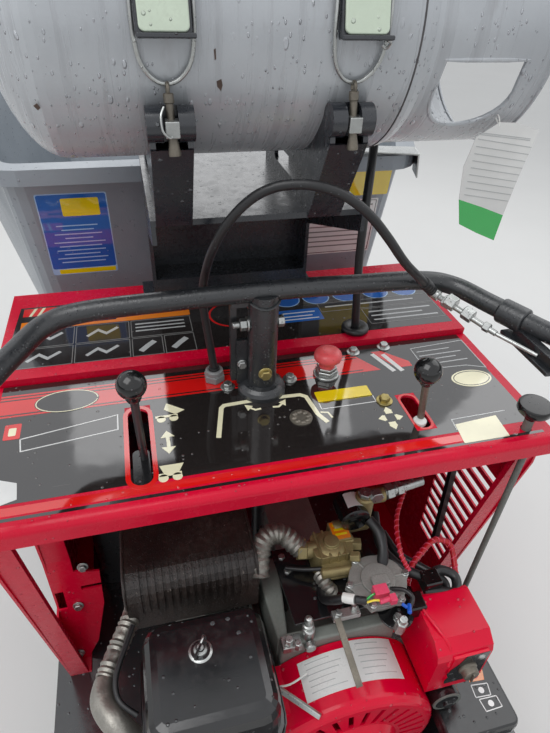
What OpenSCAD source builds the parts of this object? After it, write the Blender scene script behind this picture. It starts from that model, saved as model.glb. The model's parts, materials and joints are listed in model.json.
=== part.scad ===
// Stand-on concrete power buggy with a gas-fuelled engine.
// X is to the operator's right, Y is forward to the tub, Z is up.
// The origin is on the ground, midway along and across the machine.

/* [Whole machine] */
// Length from the platform's rear edge to the tub's pouring lip
length_all = 2600; // [2560:10:2660]
// Width over the twin drive wheels
width_all = 1200; // [1160:10:1240]
// Height of the lower control panel above the ground
panel_h = 1000; // [970:5:1030]
// Height of the engine deck's top above the ground
deck_h = 393; // [388:1:400]
// Distance of the panel's operator edge ahead of the platform's rear edge
panel_setback = 800; // [780:5:820]
// Half the width of the engine deck
deck_half_w = 417; // [412:1:420]
// Distance of the deck's rear edge behind the origin
deck_rear = 970; // [966:1:980]

/* [Console] */
// Width of the control panel
panel_w = 800; // [780:5:820]
// Depth of the lower panel, front to back
panel_d = 266; // [260:1:275]
// Depth of the hood behind it
hood_d = 266; // [255:1:275]
// Step up from the panel to the hood
hood_step = 11; // [6:1:16]
// Sheet thickness of panel, hood and sides
sheet = 4; // [3:0.5:6]
// Height of the panel's rolled lip
lip_h = 32; // [24:1:40]
// Distance of the steering column ahead of the panel's edge
column_y = 185; // [175:1:195]
// Height of the handlebar's crossbar above the panel
bar_h = 173; // [165:1:185]
// Radius of the handlebar tube
bar_r = 14; // [12:0.5:16]
// Radius of the steering shaft
shaft_r = 12.5; // [11:0.5:14]
// Radius of the bend over the panel's operator edge
panel_bend = 12; // [8:1:14]
// Number of slots in the right side's grille
grille_n = 12; // [8:1:12]

/* [Engine] */
// Radius of the engine's fan housing
shroud_r = 145; // [138:1:148]
// Depth of the fan housing
shroud_d = 100; // [90:5:110]
// Number of slots round the starter's cover
louvre_n = 30; // [20:2:36]
// Ribs across the muffler's guard
guard_n = 16; // [10:1:18]

/* [Gas cylinder] */
// Radius of the gas cylinder
gas_r = 155; // [150:1:158]
// Height of the cylinder's domes
gas_dome_h = 72; // [65:1:80]
// Length of the collar round the cylinder's valve
collar_h = 165; // [150:5:175]
// Height of the cylinder's axis above the panel
gas_axis_z = 484; // [478:1:492]
// Distance of the cylinder's axis ahead of the panel's edge
gas_axis_y = 312; // [306:1:318]

/* [Tub] */
// Height of the tub's floor above the ground
tub_floor_z = 470; // [466:1:480]
// Height of the tub's rim above the panel
tub_rim_up = 235; // [225:5:245]
// Half the tub's width at its widest
tub_half_w = 540; // [520:5:560]
// Wall thickness of the tub
tub_wall = 12; // [9:1:15]
// Height of the tipping hinge
hinge_z = 445; // [443:1:447]
// Distance of the tipping hinge ahead of the origin
hinge_y = 870; // [860:1:880]

/* [Wheels] */
// Outside radius of a drive tyre
drive_r = 232; // [228:1:236]
// Width of one drive tyre
drive_w = 145; // [140:1:146]
// Distance of the drive axle ahead of the origin
drive_y = 600; // [590:1:610]
// Outside radius of a steered tyre
steer_r = 155; // [150:1:158]
// Width of a steered tyre
steer_w = 92; // [86:1:94]
// Distance of the steered axle behind the origin
steer_y = 720; // [710:1:730]
// Distance of a kingpin from the centre line
kingpin_x = 230; // [226:1:234]
// Distance of a steered wheel's centre outside its kingpin
steer_offset = 70; // [68:1:74]
// Length of the steering arms
arm_length = 90; // [85:1:95]

/* [Frame] */
// Distance of a frame rail's centre from the centre line
rail_x = 140; // [138:1:142]
// Width of a frame rail
rail_w = 50; // [48:1:52]
// Height of a frame rail
rail_h = 90; // [85:1:95]
// Height of the operator's platform above the ground
platform_h = 200; // [190:5:215]
// Radius of the dump cylinder's rod
rod_r = 15; // [12:0.5:18]

/* [Hidden] */
$fn = 48;

// Places in the machine's frame that follow from the sizes above
rear_y = -length_all / 2;
front_y = length_all / 2;
panel_y = rear_y + panel_setback;
hood_y = panel_y + panel_d;
hood_front_y = hood_y + hood_d;
side_x = panel_w / 2 - 8;
rail_top = deck_h - 8;
rail_bottom = rail_top - rail_h;
rail_rear_y = -960;
rail_front_y = hinge_y + 20;
tie_down_r = 11;
platform_pin_y = rail_rear_y - 35;
platform_pin_z = platform_h - 14;
platform_pin_r = 7;
tub_rim_z = panel_h + tub_rim_up;
shaft_y = panel_y + column_y;
fit = 0.05;
seat_gap = 0.3;

brake_x = 361;
brake_y = 16;

// Gas cylinder and its cradle, from the panel's edge
gas_y = panel_y + gas_axis_y;
gas_z = panel_h + gas_axis_z;
gas_left_x = -300;
gas_seam_x = 158;
strap_x = [-112, 88];
strap_w = 50;
strap_t = 3;
shelf_z = panel_h + 262;
shelf_t = 8;
shelf_y0 = panel_y + 215;
pedestal_y0 = panel_y + 455;
pedestal_y1 = panel_y + 520;
upright_w = 46;
shelf_x0 = -142;
shelf_x1 = 150;
latch_r = 18;
latch_y = gas_y - 152;
latch_z = gas_z - 87;
// The pale latches' low edge, and where each bail's wire ends, as degrees up the cylinder's side
latch_low = -1;
bail_low = -18;
valve_x = 262;

// Engine, from its crankshaft
crank_x = 70;
crank_z = deck_h + 142;
// Height that the engine's upper parts are measured down from
bay_z = deck_h + 607;
engine_y0 = panel_y - 80;
engine_y1 = panel_y + 100;

starter_x = crank_x + 162;
starter_z = deck_h + 205;

// Tipping linkage: the dump cylinder's base pin and rod pin
base_pin_y = 75;
base_pin_z = 340;
rod_pin_y = 560;
rod_pin_z = 420;
pin_r = 10;
barrel_r = 30;
barrel_l = 380;
dump_eye_w = 40;
tub_rail_z = 400;
dump_len = norm([rod_pin_y - base_pin_y, rod_pin_z - base_pin_z]);
dump_tilt = atan2(rod_pin_z - base_pin_z, rod_pin_y - base_pin_y);

// Colours
red = [0.72, 0.05, 0.08];
black = [0.06, 0.06, 0.065];
steel = [0.6, 0.61, 0.62];
tyre_black = [0.05, 0.05, 0.05];

// A box between two corners
module block(a, b) {
  translate(a) cube(b - a);
}

// A flat outline with round corners, cut from squares and circles
module round_rect(x0, y0, x1, y1, r) {
  translate([x0 + r, y0]) square([x1 - x0 - 2 * r, y1 - y0]);
  translate([x0, y0 + r]) square([x1 - x0, y1 - y0 - 2 * r]);
  for (x = [x0 + r, x1 - r]) for (y = [y0 + r, y1 - r]) translate([x, y]) circle(r);
}

// A box with round vertical edges
module round_box(a, b, r) {
  translate([0, 0, a[2]]) linear_extrude(b[2] - a[2]) round_rect(a[0], a[1], b[0], b[1], r);
}

// A round bar along X, Y or Z from a point
module bar_x(p, r, l) { translate(p) rotate([0, 90, 0]) cylinder(r = r, h = l); }
module bar_y(p, r, l) { translate(p) rotate([-90, 0, 0]) cylinder(r = r, h = l); }
module bar_z(p, r, l) { translate(p) cylinder(r = r, h = l); }

// A flat outline drawn in Y and Z, made into a plate across X
module plate_yz(x0, x1) {
  translate([x0, 0, 0]) rotate([90, 0, 90]) linear_extrude(x1 - x0) children();
}

// A flat outline drawn in X and Z, made into a plate along Y
module plate_xz(y0, y1) {
  translate([0, y1, 0]) rotate([90, 0, 0]) linear_extrude(y1 - y0) children();
}

// Both sides of the machine
module both_sides() { children(); mirror([1, 0, 0]) children(); }

module main_frame() {
  ear_t = 10;
  ear_x = rail_w / 2 - ear_t;
  color(black) difference() {
    union() {
      both_sides() {
        block([rail_x - rail_w / 2, rail_rear_y, rail_bottom], [rail_x + rail_w / 2, rail_front_y, rail_top]);
        // Hinge ears for the tub, one each side of its rail
        for (x = [rail_x - ear_x - ear_t, rail_x + ear_x])
          plate_yz(x, x + ear_t) {
            translate([hinge_y, hinge_z]) circle(20);
            translate([hinge_y - 20, rail_top - 10]) square([40, hinge_z - rail_top + 10]);
          }
        // Rubber rest for the tub's rails
        block([rail_x - 20, 225, rail_top - 1], [rail_x + 20, 285, tub_rail_z - seat_gap]);
        // Platform hinge brackets
        plate_yz(185, 200) {
          translate([platform_pin_y, platform_pin_z]) circle(13);
          translate([platform_pin_y, platform_pin_z - 13]) square([rail_rear_y - platform_pin_y, 26]);
          translate([rail_rear_y - 14, platform_pin_z - 13]) square([19, rail_top - platform_pin_z + 13]);
        }
        block([rail_x, rail_rear_y - 14, rail_bottom], [200, rail_rear_y + 5, rail_top]);
      }
      // Cross members
      for (y = [rail_rear_y, -steer_y - 30, shaft_y - 30, -5, 760])
        block([-rail_x, y, rail_bottom], [rail_x, y + 60, rail_top - 12]);
      // Posts down to the steered axle
      for (x = [-80, 80]) block([x - 20, -steer_y - 25, steer_r + 25], [x + 20, -steer_y + 25, rail_bottom + 2]);
      // Clevis for the dump cylinder's base
      for (x = [-34, 22]) plate_yz(x, x + 12) {
        translate([base_pin_y, base_pin_z]) circle(22);
        translate([40, base_pin_z - 22]) square([base_pin_y - 40, 44]);
      }
    }
    bar_z([0, shaft_y, rail_bottom - 10], shaft_r + fit, 200);
    // Tie-down holes through the rails
    both_sides() for (y = [rail_rear_y + 90, rail_front_y - 45])
      bar_x([rail_x - rail_w, y, rail_bottom + rail_h / 2], tie_down_r, 2 * rail_w);
  }
  // Hinge pins of the platform, the tub and the dump cylinder
  color(steel) {
    both_sides() bar_x([183, platform_pin_y, platform_pin_z], platform_pin_r, 43);
    both_sides() bar_x([rail_x - rail_w / 2 - 4, hinge_y, hinge_z], pin_r, rail_w + 8);
    bar_x([-38, base_pin_y, base_pin_z], pin_r, 76);
  }
}

module deck() {
  color(black) difference() {
    union() {
      block([-deck_half_w, -deck_rear, rail_top], [deck_half_w, hood_front_y, deck_h]);
      both_sides() block([deck_half_w - sheet, -deck_rear, rail_top - 22], [deck_half_w, hood_front_y, deck_h]);
    }
    bar_z([0, shaft_y, rail_top - 5], shaft_r + 12, 30);
  }
}

module operator_platform() {
  w = 260;
  color(black) {
    difference() {
      union() {
        block([-w, rear_y, platform_h - 6], [w, platform_pin_y - 20, platform_h]);
        block([-w, rear_y, platform_h - 40], [w, rear_y + 6, platform_h]);
        both_sides() block([w - 6, rear_y, platform_h - 40], [w, platform_pin_y - 20, platform_h]);
        // Hinge knuckles either side of the frame's brackets
        both_sides() plate_yz(208, 222) {
          translate([platform_pin_y, platform_pin_z]) circle(13);
          translate([platform_pin_y - 40, platform_pin_z - 13]) square([40, 22]);
        }
      }
      bar_x([-300, platform_pin_y, platform_pin_z], platform_pin_r + fit, 600);
    }
  }
}

module lever_slots() {
  translate([0, panel_y]) {
    round_rect(-205, 26, -176, 174, 14);
    round_rect(204, 48, 228, 122, 11.5);
  }
}

module console_panel() {
  hw = panel_w / 2;
  lip_y = panel_y - panel_bend;
  color(red) difference() {
    union() {
      plate_yz(-hw, hw) difference() {
        union() {
          translate([panel_y, panel_h - sheet]) square([panel_d - 2, sheet]);
          translate([lip_y, panel_h - lip_h]) square([sheet, lip_h - panel_bend]);
          intersection() {
            translate([panel_y, panel_h - panel_bend]) circle(panel_bend);
            translate([lip_y, panel_h - panel_bend]) square([panel_bend, panel_bend]);
          }
        }
        translate([panel_y, panel_h - panel_bend]) circle(panel_bend - sheet);
      }
      both_sides() block([hw - sheet, panel_y, panel_h - lip_h], [hw, panel_y + panel_d - 2, panel_h]);
    }
    translate([0, 0, panel_h - 20]) linear_extrude(40) lever_slots();
    bar_z([0, shaft_y, panel_h - 20], shaft_r + fit, 40);
    bar_z([brake_x, panel_y + brake_y, panel_h - 20], 8, 40);
  }
}

module hood_panel() {
  hw = panel_w / 2;
  top = panel_h + hood_step;
  color(red) {
    block([-hw, hood_y, top - sheet], [hw, hood_front_y, top]);
    block([-hw, hood_y, panel_h - sheet], [hw, hood_y + sheet, top]);
    both_sides() block([hw - sheet, hood_y, panel_h - lip_h], [hw, hood_front_y, top]);
  }
}

// Sheet that closes the console towards the tub
module front_sheet() {
  hw = panel_w / 2 - sheet;
  color(red) block([-hw, hood_front_y - sheet, deck_h], [hw, hood_front_y, panel_h + hood_step - sheet]);
}

// A console side: plate, sloping strut and its flange, in the plane of X
module side_plate(louvred) {
  top = panel_h - lip_h / 2;
  color(red) difference() {
    union() {
      plate_yz(side_x - sheet, side_x) polygon([
        [panel_y + 6, top], [hood_front_y - sheet, top], [hood_front_y - sheet, deck_h],
        [panel_y + 104, deck_h], [panel_y + 6, panel_h - 70]
      ]);
      // Flange along the sloping edge and along the deck
      plate_yz(side_x - 34, side_x) polygon([
        [panel_y + 6, panel_h - 50], [panel_y + 16, panel_h - 50],
        [panel_y + 112, deck_h], [panel_y + 104, deck_h]
      ]);
      block([side_x - 40, panel_y + 104, deck_h], [side_x, hood_front_y - 20, deck_h + 5]);
      if (!louvred) side_bracket();
    }
    if (louvred) {
      // Slots one above another, their near ends along the sloping edge
      for (i = [0:grille_n - 1]) let (z = panel_h - 170 - 28 * i, near = 44 + 0.196 * (28 * i))
        plate_yz(side_x - 20, side_x + 20)
          translate([panel_y + near, z - 8]) round_rect(0, 0, 208 - near, 16, 3);
    } else {
      plate_yz(side_x - 20, side_x + 20) polygon([
        [panel_y + 34, panel_h - 110], [panel_y + 168, panel_h - 110], [panel_y + 172, panel_h - 330],
        [panel_y + 163, panel_h - 455], [panel_y + 98, panel_h - 458]
      ]);
    }
  }
}

// Stepped bracket behind the left opening, leaning down to the deck
module side_bracket() {
  intersection() {
    plate_yz(side_x - 95, side_x - 1) polygon([
      [panel_y + 174, panel_h - 20], [panel_y + 178, panel_h - 20], [panel_y + 178, panel_h - 330],
      [panel_y + 138, deck_h], [panel_y + 134, deck_h], [panel_y + 174, panel_h - 330]
    ]);
    plate_xz(panel_y + 100, panel_y + 200) difference() {
      polygon([
        [side_x, panel_h], [side_x, deck_h], [side_x - 34, deck_h], [side_x - 60, deck_h + 46],
        [side_x - 86, panel_h - 457], [side_x - 90, panel_h - 372], [side_x - 46, panel_h - 362], [side_x - 44, panel_h]
      ]);
      translate([side_x - 100, panel_h - 412]) square([48, 10]);
    }
  }
}
module side_panel_left() { mirror([1, 0, 0]) side_plate(false); }
module side_panel_right() { side_plate(true); }

module hydraulic_tank() {
  color(black) {
    round_box([-330, panel_y + 290, deck_h], [-60, hood_front_y - 20, deck_h + 360], 20);
    bar_z([-195, panel_y + 400, deck_h + 359], 30, 40);
  }
}

module tank_cradle() {
  saddle_y0 = gas_y - 150;
  saddle_y1 = gas_y + 150;
  color(black) {
    // Foot plate, pedestal box, shelf and its two gussets
    block([shelf_x0 - 20, pedestal_y0 - 25, panel_h + hood_step], [shelf_x1 + 20, hood_front_y, panel_h + hood_step + 8]);
    difference() {
      block([shelf_x0, pedestal_y0, panel_h + hood_step + 7], [shelf_x1, pedestal_y1, shelf_z + 1]);
      block([shelf_x0 + 6, pedestal_y0 - 5, panel_h + 60], [shelf_x1 - 6, pedestal_y1 - 6, shelf_z - 20]);
    }
    block([shelf_x0, shelf_y0, shelf_z], [shelf_x1, pedestal_y1, shelf_z + shelf_t]);
    for (x = [shelf_x0, shelf_x1 - 6]) plate_yz(x, x + 6) polygon([
      [shelf_y0, shelf_z + 1], [shelf_y0, shelf_z - 25], [pedestal_y0, shelf_z - 110], [pedestal_y0 + 1, shelf_z + 1]
    ]);
    // Saddles under the cylinder: two plates, a face between them, a bent liner and a rolled tube with a slot
    for (x = strap_x) {
      for (s = [-upright_w / 2, upright_w / 2 - 6]) plate_yz(x + s, x + s + 6) difference() {
        polygon([
          [shelf_y0, shelf_z + shelf_t - 1], [pedestal_y1 - 60, shelf_z + shelf_t - 1],
          [saddle_y1, gas_z - 100], [saddle_y1, gas_z - 75], [saddle_y0, gas_z - 75], [saddle_y0 - 9, gas_z - 110]
        ]);
        translate([gas_y, gas_z]) circle(gas_r + seat_gap, $fn = 96);
        translate([gas_y - 60, shelf_z + shelf_t + 18]) round_rect(0, 0, 150, 24, 8);
      }
      plate_yz(x - upright_w / 2, x + upright_w / 2) polygon([
        [shelf_y0, shelf_z], [shelf_y0 + 6, shelf_z], [saddle_y0 - 3, gas_z - 112], [saddle_y0 - 9, gas_z - 112]
      ]);
      plate_yz(x - upright_w / 2 + 1, x + upright_w / 2 - 1) difference() {
        translate([gas_y, gas_z]) circle(gas_r + 6, $fn = 96);
        translate([gas_y, gas_z]) circle(gas_r + seat_gap, $fn = 96);
        translate([gas_y - 200, gas_z - 88]) square([400, 400]);
      }
      difference() {
        bar_x([x - 25, latch_y, latch_z], latch_r, 50);
        block([x - 8, latch_y - 30, latch_z - 30], [x + 8, latch_y + 2, latch_z + 30]);
      }
    }
  }
}

// Height of the cylinder's dome above its seam, at a given radius
function dome_rise(r) = gas_dome_h * sqrt(1 - pow(r / gas_r, 2));
module gas_cylinder() {
  collar_r = gas_r - 6;
  hole_low = 29;
  color([0.5, 0.5, 0.51]) translate([0, gas_y, gas_z]) rotate([0, 90, 0]) {
    // Body with its two domes
    rotate_extrude($fn = 96) polygon(concat(
      [[0, gas_left_x]],
      [for (a = [7.5:7.5:90]) [gas_r * sin(a), gas_left_x + gas_dome_h * (1 - cos(a))]],
      [for (a = [90:-7.5:7.5]) [gas_r * sin(a), gas_seam_x + gas_dome_h * cos(a)]],
      [[0, gas_seam_x + gas_dome_h]]
    ));
    // Collar round the valve: a hand hole low on the near side, one for the hose on the far side
    difference() {
      rotate_extrude($fn = 96) translate([collar_r - 4, gas_seam_x + dome_rise(collar_r) - 4]) square([4, collar_h]);
      for (a = [hole_low, 180]) rotate([0, 0, a]) translate([0, 0, gas_seam_x + 37])
        rotate([90, 0, 0]) linear_extrude(400) polygon(concat(
          [[-46, 2], [-46, 108]],
          [for (t = [0:15:180]) [-8 + 54 * sin(t), 55 + 55 * cos(t)]]
        ));
    }
  }
}

module cylinder_valve() {
  color([0.75, 0.6, 0.25]) {
    bar_x([gas_seam_x + gas_dome_h + 0.2, gas_y, gas_z], 16, 60);
    bar_y([valve_x, gas_y, gas_z], 11, 70);
    bar_x([gas_seam_x + gas_dome_h + 53, gas_y, gas_z], 24, 18);
  }
}

module tank_straps() {
  plate_tilt = 14;
  plate_r = gas_r + 12;
  color(steel) for (x = strap_x) {
    plate_yz(x - strap_w / 2, x + strap_w / 2) difference() {
      translate([gas_y, gas_z]) circle(gas_r + strap_t + 0.3, $fn = 96);
      translate([gas_y, gas_z]) circle(gas_r + 0.3, $fn = 96);
      translate([gas_y - 200, gas_z - 274.7]) square([400, 200]);
      translate([gas_y - 200, gas_z - 200]) square([200, 250]);
    }
    // Latch: housing against the cylinder and the pale lever plate on it
    translate([0, gas_y, gas_z]) rotate([-plate_tilt, 0, 0]) {
      z0 = plate_r * tan(latch_low - plate_tilt);
      block([x - 26, -plate_r, z0 - 4], [x + 26, -gas_r - 0.4, 46]);
      block([x - 24, -plate_r - 4, z0], [x + 24, -plate_r + 1, 44]);
    }
    // Bail down both sides of the latch, and the bolt that hangs from it through the cradle's slot
    translate([x, gas_y, gas_z]) {
      half = [for (q = [[27, 24, 9], [29, 8, 6], [28.5, -3, 5], [24, -11, 4.5], [13, bail_low + 1.6, 4], [0, bail_low, 4]])
        on_side(q[0], q[1], gas_r + q[2])];
      swept_tube(smooth_route(concat(half, [for (i = [4:-1:0]) [-half[i][0], half[i][1], half[i][2]]]), 2), 2, 8);
    }
    translate([x, latch_y, latch_z]) {
      lever_rod([0, -2, 32], [0, -13, -28], 4);
      bar_x([-3.5, -0.6, 35.8], 5, 7);
      block([-7, -17, -12], [7, -2, 3]);
    }
  }
}

// A point on the cylinder's near side: along it, degrees up its side, distance from its axis
function on_side(x, up, r) = [x, -r * cos(up), r * sin(up)];

// Smooth route through chosen points, as a chain of rings
function along(p, i) = i == 0 ? p[1] - p[0] : i == len(p) - 1 ? p[i] - p[i - 1] : p[i + 1] - p[i - 1];
function unit(v) = v / norm(v);
// Skin over rings of equally many points, with both ends closed
module loft(rings) {
  n = len(rings[0]);
  last = (len(rings) - 1) * n;
  polyhedron([for (ring = rings) for (q = ring) q], concat(
    [[for (k = [0:n - 1]) k]],
    [[for (k = [n - 1:-1:0]) last + k]],
    [for (i = [0:len(rings) - 2]) for (k = [0:n - 1]) [i * n + k, i * n + n + k, i * n + n + (k + 1) % n]],
    [for (i = [0:len(rings) - 2]) for (k = [0:n - 1]) [i * n + k, i * n + n + (k + 1) % n, i * n + (k + 1) % n]]
  ));
}
module swept_tube(p, r, n) {
  loft([for (i = [0:len(p) - 1])
    let (t = unit(along(p, i)), a = unit(cross(t, [0.31, 0.93, 0.17])), b = cross(t, a))
    [for (k = [0:n - 1]) p[i] + r * (cos(360 * k / n) * a + sin(360 * k / n) * b)]]);
}
function spline_at(a, b, c, d, t) =
  0.5 * (2 * b + (c - a) * t + (2 * a - 5 * b + 4 * c - d) * t * t + (3 * b - a - 3 * c + d) * t * t * t);
function smooth_route(p, steps) = concat(
  [for (i = [0:len(p) - 2]) for (s = [0:steps - 1])
    spline_at(p[max(i - 1, 0)], p[i], p[i + 1], p[min(i + 2, len(p) - 1)], s / steps)],
  [p[len(p) - 1]]
);

// Hose from the hood's grommet up to the valve, from the panel's edge
hose_r = 7;
hose_route = [
  [198, 299, 14], [194, 300, 70], [191, 307, 150], [196, 321, 220], [210, 352, 290],
  [232, 405, 355], [252, 462, 405], [262, 502, 445], [262, 505, 478], [262, 480, 488], [262, 440, 485], [262, 382.5, 484]
];
module gas_hose() {
  color(black) translate([0, panel_y, panel_h]) swept_tube(smooth_route(hose_route, 3), hose_r, 8);
}

// Cable from its gland over to the handlebar's right arm, from the panel's edge
cable_r = 6;
cable_route = [
  [-68, 222, 22.5], [-71, 224, 52], [-80, 224, 145], [-74, 204, 209], [-61, 175, 262], [-45, 163, 292],
  [-27, 155, 313], [-9, 148, 326], [12, 142, 333], [44, 133, 334], [79, 125, 323], [111, 120, 300],
  [140, 120, 269], [172, 125, 231], [208, 140, 197], [246, 164.3, 160.2]
];
module control_cable() {
  color(black) translate([0, panel_y, panel_h]) swept_tube(smooth_route(cable_route, 2), cable_r, 8);
}

module engine_block() {
  color([0.25, 0.25, 0.26]) {
    // Mounting rails, sump and crankcase
    for (x = [crank_x - 90, crank_x + 60]) block([x, engine_y0 + 10, deck_h], [x + 30, engine_y1 - 10, deck_h + 22]);
    round_box([crank_x - 115, engine_y0, deck_h + 20], [crank_x + 115, engine_y1, deck_h + 190], 18);
    round_box([crank_x - 95, engine_y0 + 10, deck_h + 185], [crank_x + 95, engine_y1 - 15, deck_h + 240], 25);
    // Starter motor and its solenoid, beside the fan housing
    block([crank_x + 90, engine_y0 + 2, starter_z - 20], [starter_x, engine_y0 + 12, starter_z + 20]);
    bar_y([starter_x, engine_y0 - 92, starter_z], 24, 112);
  }
}

// Cylinder, its fins and the rocker cover, leaning to the left of the crankshaft
module head_form() {
  fin_n = 9;
  translate([crank_x, 0, crank_z]) rotate([0, 25, 0]) {
    block([-200, engine_y0 + 30, -50], [-100, engine_y1 - 40, 50]);
    for (i = [0:fin_n - 1]) block([-205 + 10 * i, engine_y0 + 12, -66], [-201 + 10 * i, engine_y1 - 22, 66]);
    block([-245, engine_y0 + 20, -58], [-200, engine_y1 - 30, 58]);
  }
}
module cylinder_head() {
  color([0.35, 0.35, 0.36]) difference() {
    head_form();
    block([crank_x - 115 - seat_gap, engine_y0 - 50, deck_h], [crank_x + 200, engine_y1 + 50, deck_h + 300]);
  }
}
// Top of the rocker cover's high corner, where the pipes above end
head_top_z = crank_z + 245 * sin(25) + 58 * cos(25);
head_top_x = crank_x - 245 * cos(25) + 58 * sin(25);

module fan_cover() {
  y0 = engine_y0 - shroud_d;
  starter_r = shroud_r - 15;
  dome_r = 58;
  axis_z = crank_z + 10;
  color(red) difference() {
    union() {
      // Housing with a rolled shoulder, open towards the crankcase
      translate([crank_x, engine_y0 - 0.3, axis_z]) rotate([90, 0, 0]) rotate_extrude($fn = 96) polygon(concat(
        [[shroud_r - 4, 0], [shroud_r, 0]],
        [for (a = [0:18:90]) [shroud_r - 15 + 15 * cos(a), shroud_d - 15.3 + 15 * sin(a)]],
        // Starter's cover: a flat ring of louvres round a low dome
        [[dome_r + 20, shroud_d - 0.3], [dome_r + 8, shroud_d + 14], [dome_r, shroud_d + 22], [20, shroud_d + 26],
         [0, shroud_d + 26], [0, shroud_d + 22], [18, shroud_d + 22], [dome_r - 2, shroud_d + 18],
         [dome_r + 5, shroud_d + 11], [dome_r + 18, shroud_d - 4.3], [shroud_r - 15, shroud_d - 4.3]],
        [for (a = [72:-18:18]) [shroud_r - 15 + 11 * cos(a), shroud_d - 15.3 + 11 * sin(a)]]
      ));
      // Air duct towards the cylinder
      block([crank_x - 240, y0 + 30, axis_z], [crank_x, engine_y0 - 0.3, axis_z + 110]);
    }
    block([crank_x - 236, y0 + 34, axis_z + 4], [crank_x, engine_y0 + 5, axis_z + 106]);
    translate([crank_x, engine_y0 + 5, axis_z]) rotate([90, 0, 0]) cylinder(r = shroud_r - 15, h = shroud_d - 10);
    for (i = [0:louvre_n - 1]) translate([crank_x, 0, axis_z]) rotate([0, 360 * i / louvre_n, 0])
      block([dome_r + 26, y0 - 20, -4], [starter_r - 4, y0 + 10, 4]);
  }
}

// A moulded cover's rings: rounded rectangles, each with its own inset and height
function cover_ring(a, b, r, inset, z) = [for (c = [0:3]) for (t = [0:22.5:90])
  let (x = c == 0 || c == 3 ? b[0] - r : a[0] + r, y = c < 2 ? b[1] - r : a[1] + r)
  [x + (r - inset) * cos(t + 90 * c), y + (r - inset) * sin(t + 90 * c), z]];
module cover(a, b, r, table) {
  loft([for (q = table) cover_ring(a, b, r, q[0], q[1])]);
}

cleaner_top = bay_z - 199;
module air_cleaner() {
  color(black) {
    // Columns: inset, height
    cover([-228, panel_y - 204], [-44, panel_y - 36], 34, [
      [0, cleaner_top - 96], [0, cleaner_top - 80], [5, cleaner_top - 79], [7, cleaner_top - 24],
      [11, cleaner_top - 11], [18, cleaner_top - 3], [27, cleaner_top]
    ]);
    // Elbow down to the cylinder head
    bar_z([head_top_x, panel_y - 62, head_top_z + seat_gap], 20, cleaner_top - 90 - head_top_z);
  }
  color(steel) {
    bar_z([-144, panel_y - 100, cleaner_top - 1], 13, 4);
    bar_z([-144, panel_y - 100, cleaner_top - 1], 6, 12);
    translate([-144, panel_y - 100, cleaner_top + 9]) rotate([0, 0, 55]) block([-15, -1.5, -5], [15, 1.5, 5]);
  }
}

// A curve's points about a centre, in Y and Z
function bend_points(y, z, r, a0, a1, step) = [for (a = [a0:step:a1]) [y + r * cos(a), z + r * sin(a)]];
guard_bottom = bay_z - 305;
module muffler_side(grow) {
  top = bay_z - 201 + grow;
  near = panel_y + 6 - grow;
  polygon(concat(
    [[panel_y + 122, guard_bottom], [panel_y + 122, top]],
    bend_points(near + 44, top - 44, 44, 90, 180, 15),
    [[near, guard_bottom]]
  ));
}
module muffler() {
  x0 = -242;
  x1 = -40;
  color(black) {
    plate_yz(x0, x1) muffler_side(0);
    // Guard's ribs round the near top edge
    for (i = [0:guard_n - 1]) let (x = x0 + 20 + (x1 - x0 - 34) * i / (guard_n - 1)) intersection() {
      plate_yz(x - 3, x + 3) muffler_side(2.5);
      block([x - 5, panel_y - 5, bay_z - 262], [x + 5, panel_y + 46, bay_z - 190]);
    }
    bar_z([head_top_x, panel_y + 40, head_top_z + seat_gap], 18, guard_bottom + 1 - head_top_z);
  }
  // Wrapped pipe that loops out past the air cleaner
  color(steel) translate([0, panel_y, bay_z]) swept_tube(smooth_route([
    [-232, 40, -290], [-244, 5, -282], [-262, -30, -285], [-279, -68, -285], [-280, -98, -285], [-266, -126, -285],
    [-248, -144, -302], [-222, -160, -320]
  ], 3), 13, 12);
}

module gas_mixer() {
  // Plate over the crankcase that carries the gas parts
  plate_z = bay_z - 262;
  plate_t = 4;
  color(black) {
    translate([0, panel_y, plate_z]) linear_extrude(plate_t) polygon([[-6, 66], [150, 66], [176, -20], [168, -62], [0, -66]]);
    for (x = [10, 140]) bar_z([x, panel_y + 20, deck_h + 240.3], 8, plate_z - deck_h - 239);
  }
  translate([0, panel_y, plate_z + plate_t]) {
    // Brass lock valve: body, bonnet and inlet elbow
    color([0.8, 0.68, 0.45]) {
      block([52, 4, -1], [118, 52, 46]);
      bar_x([40, 32, 34], 14, 84);
      bar_x([30, 34, 36], 17, 14);
      bar_z([84, 28, 40], 26, 12);
      block([62, -6, 4], [112, 6, 30]);
      bar_z([150, 66, 40], 17, 66);
      bar_x([96, 56, 44], 12, 62);
      bar_x([150, 66, 98], 13, 36);
      bar_x([184, 68, 98], 9, 74);
    }
    // Coil of the shut-off solenoid
    color(black) bar_y([128, 40, 74], 25, 46);
    // Regulator: scalloped body between two flanges, bolts round its rim
    color([0.55, 0.55, 0.56]) {
      bar_z([138, -40, -1], 30, 30);
      bar_z([138, -40, 28], 42, 12);
      for (a = [0:60:300]) bar_z([138 + 40 * cos(a), -40 + 40 * sin(a), 26], 7, 18);
      bar_z([138, -40, 36], 24, 12);
    }
    // Corrugated hose from the air side
    color(steel) swept_tube(smooth_route([
      [-27.3, 30, 30], [-26, 46, 50], [-18, 56, 62], [2, 60, 64], [22, 52, 56], [36, 36, 40]
    ], 3), 12, 12);
  }
}

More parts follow.
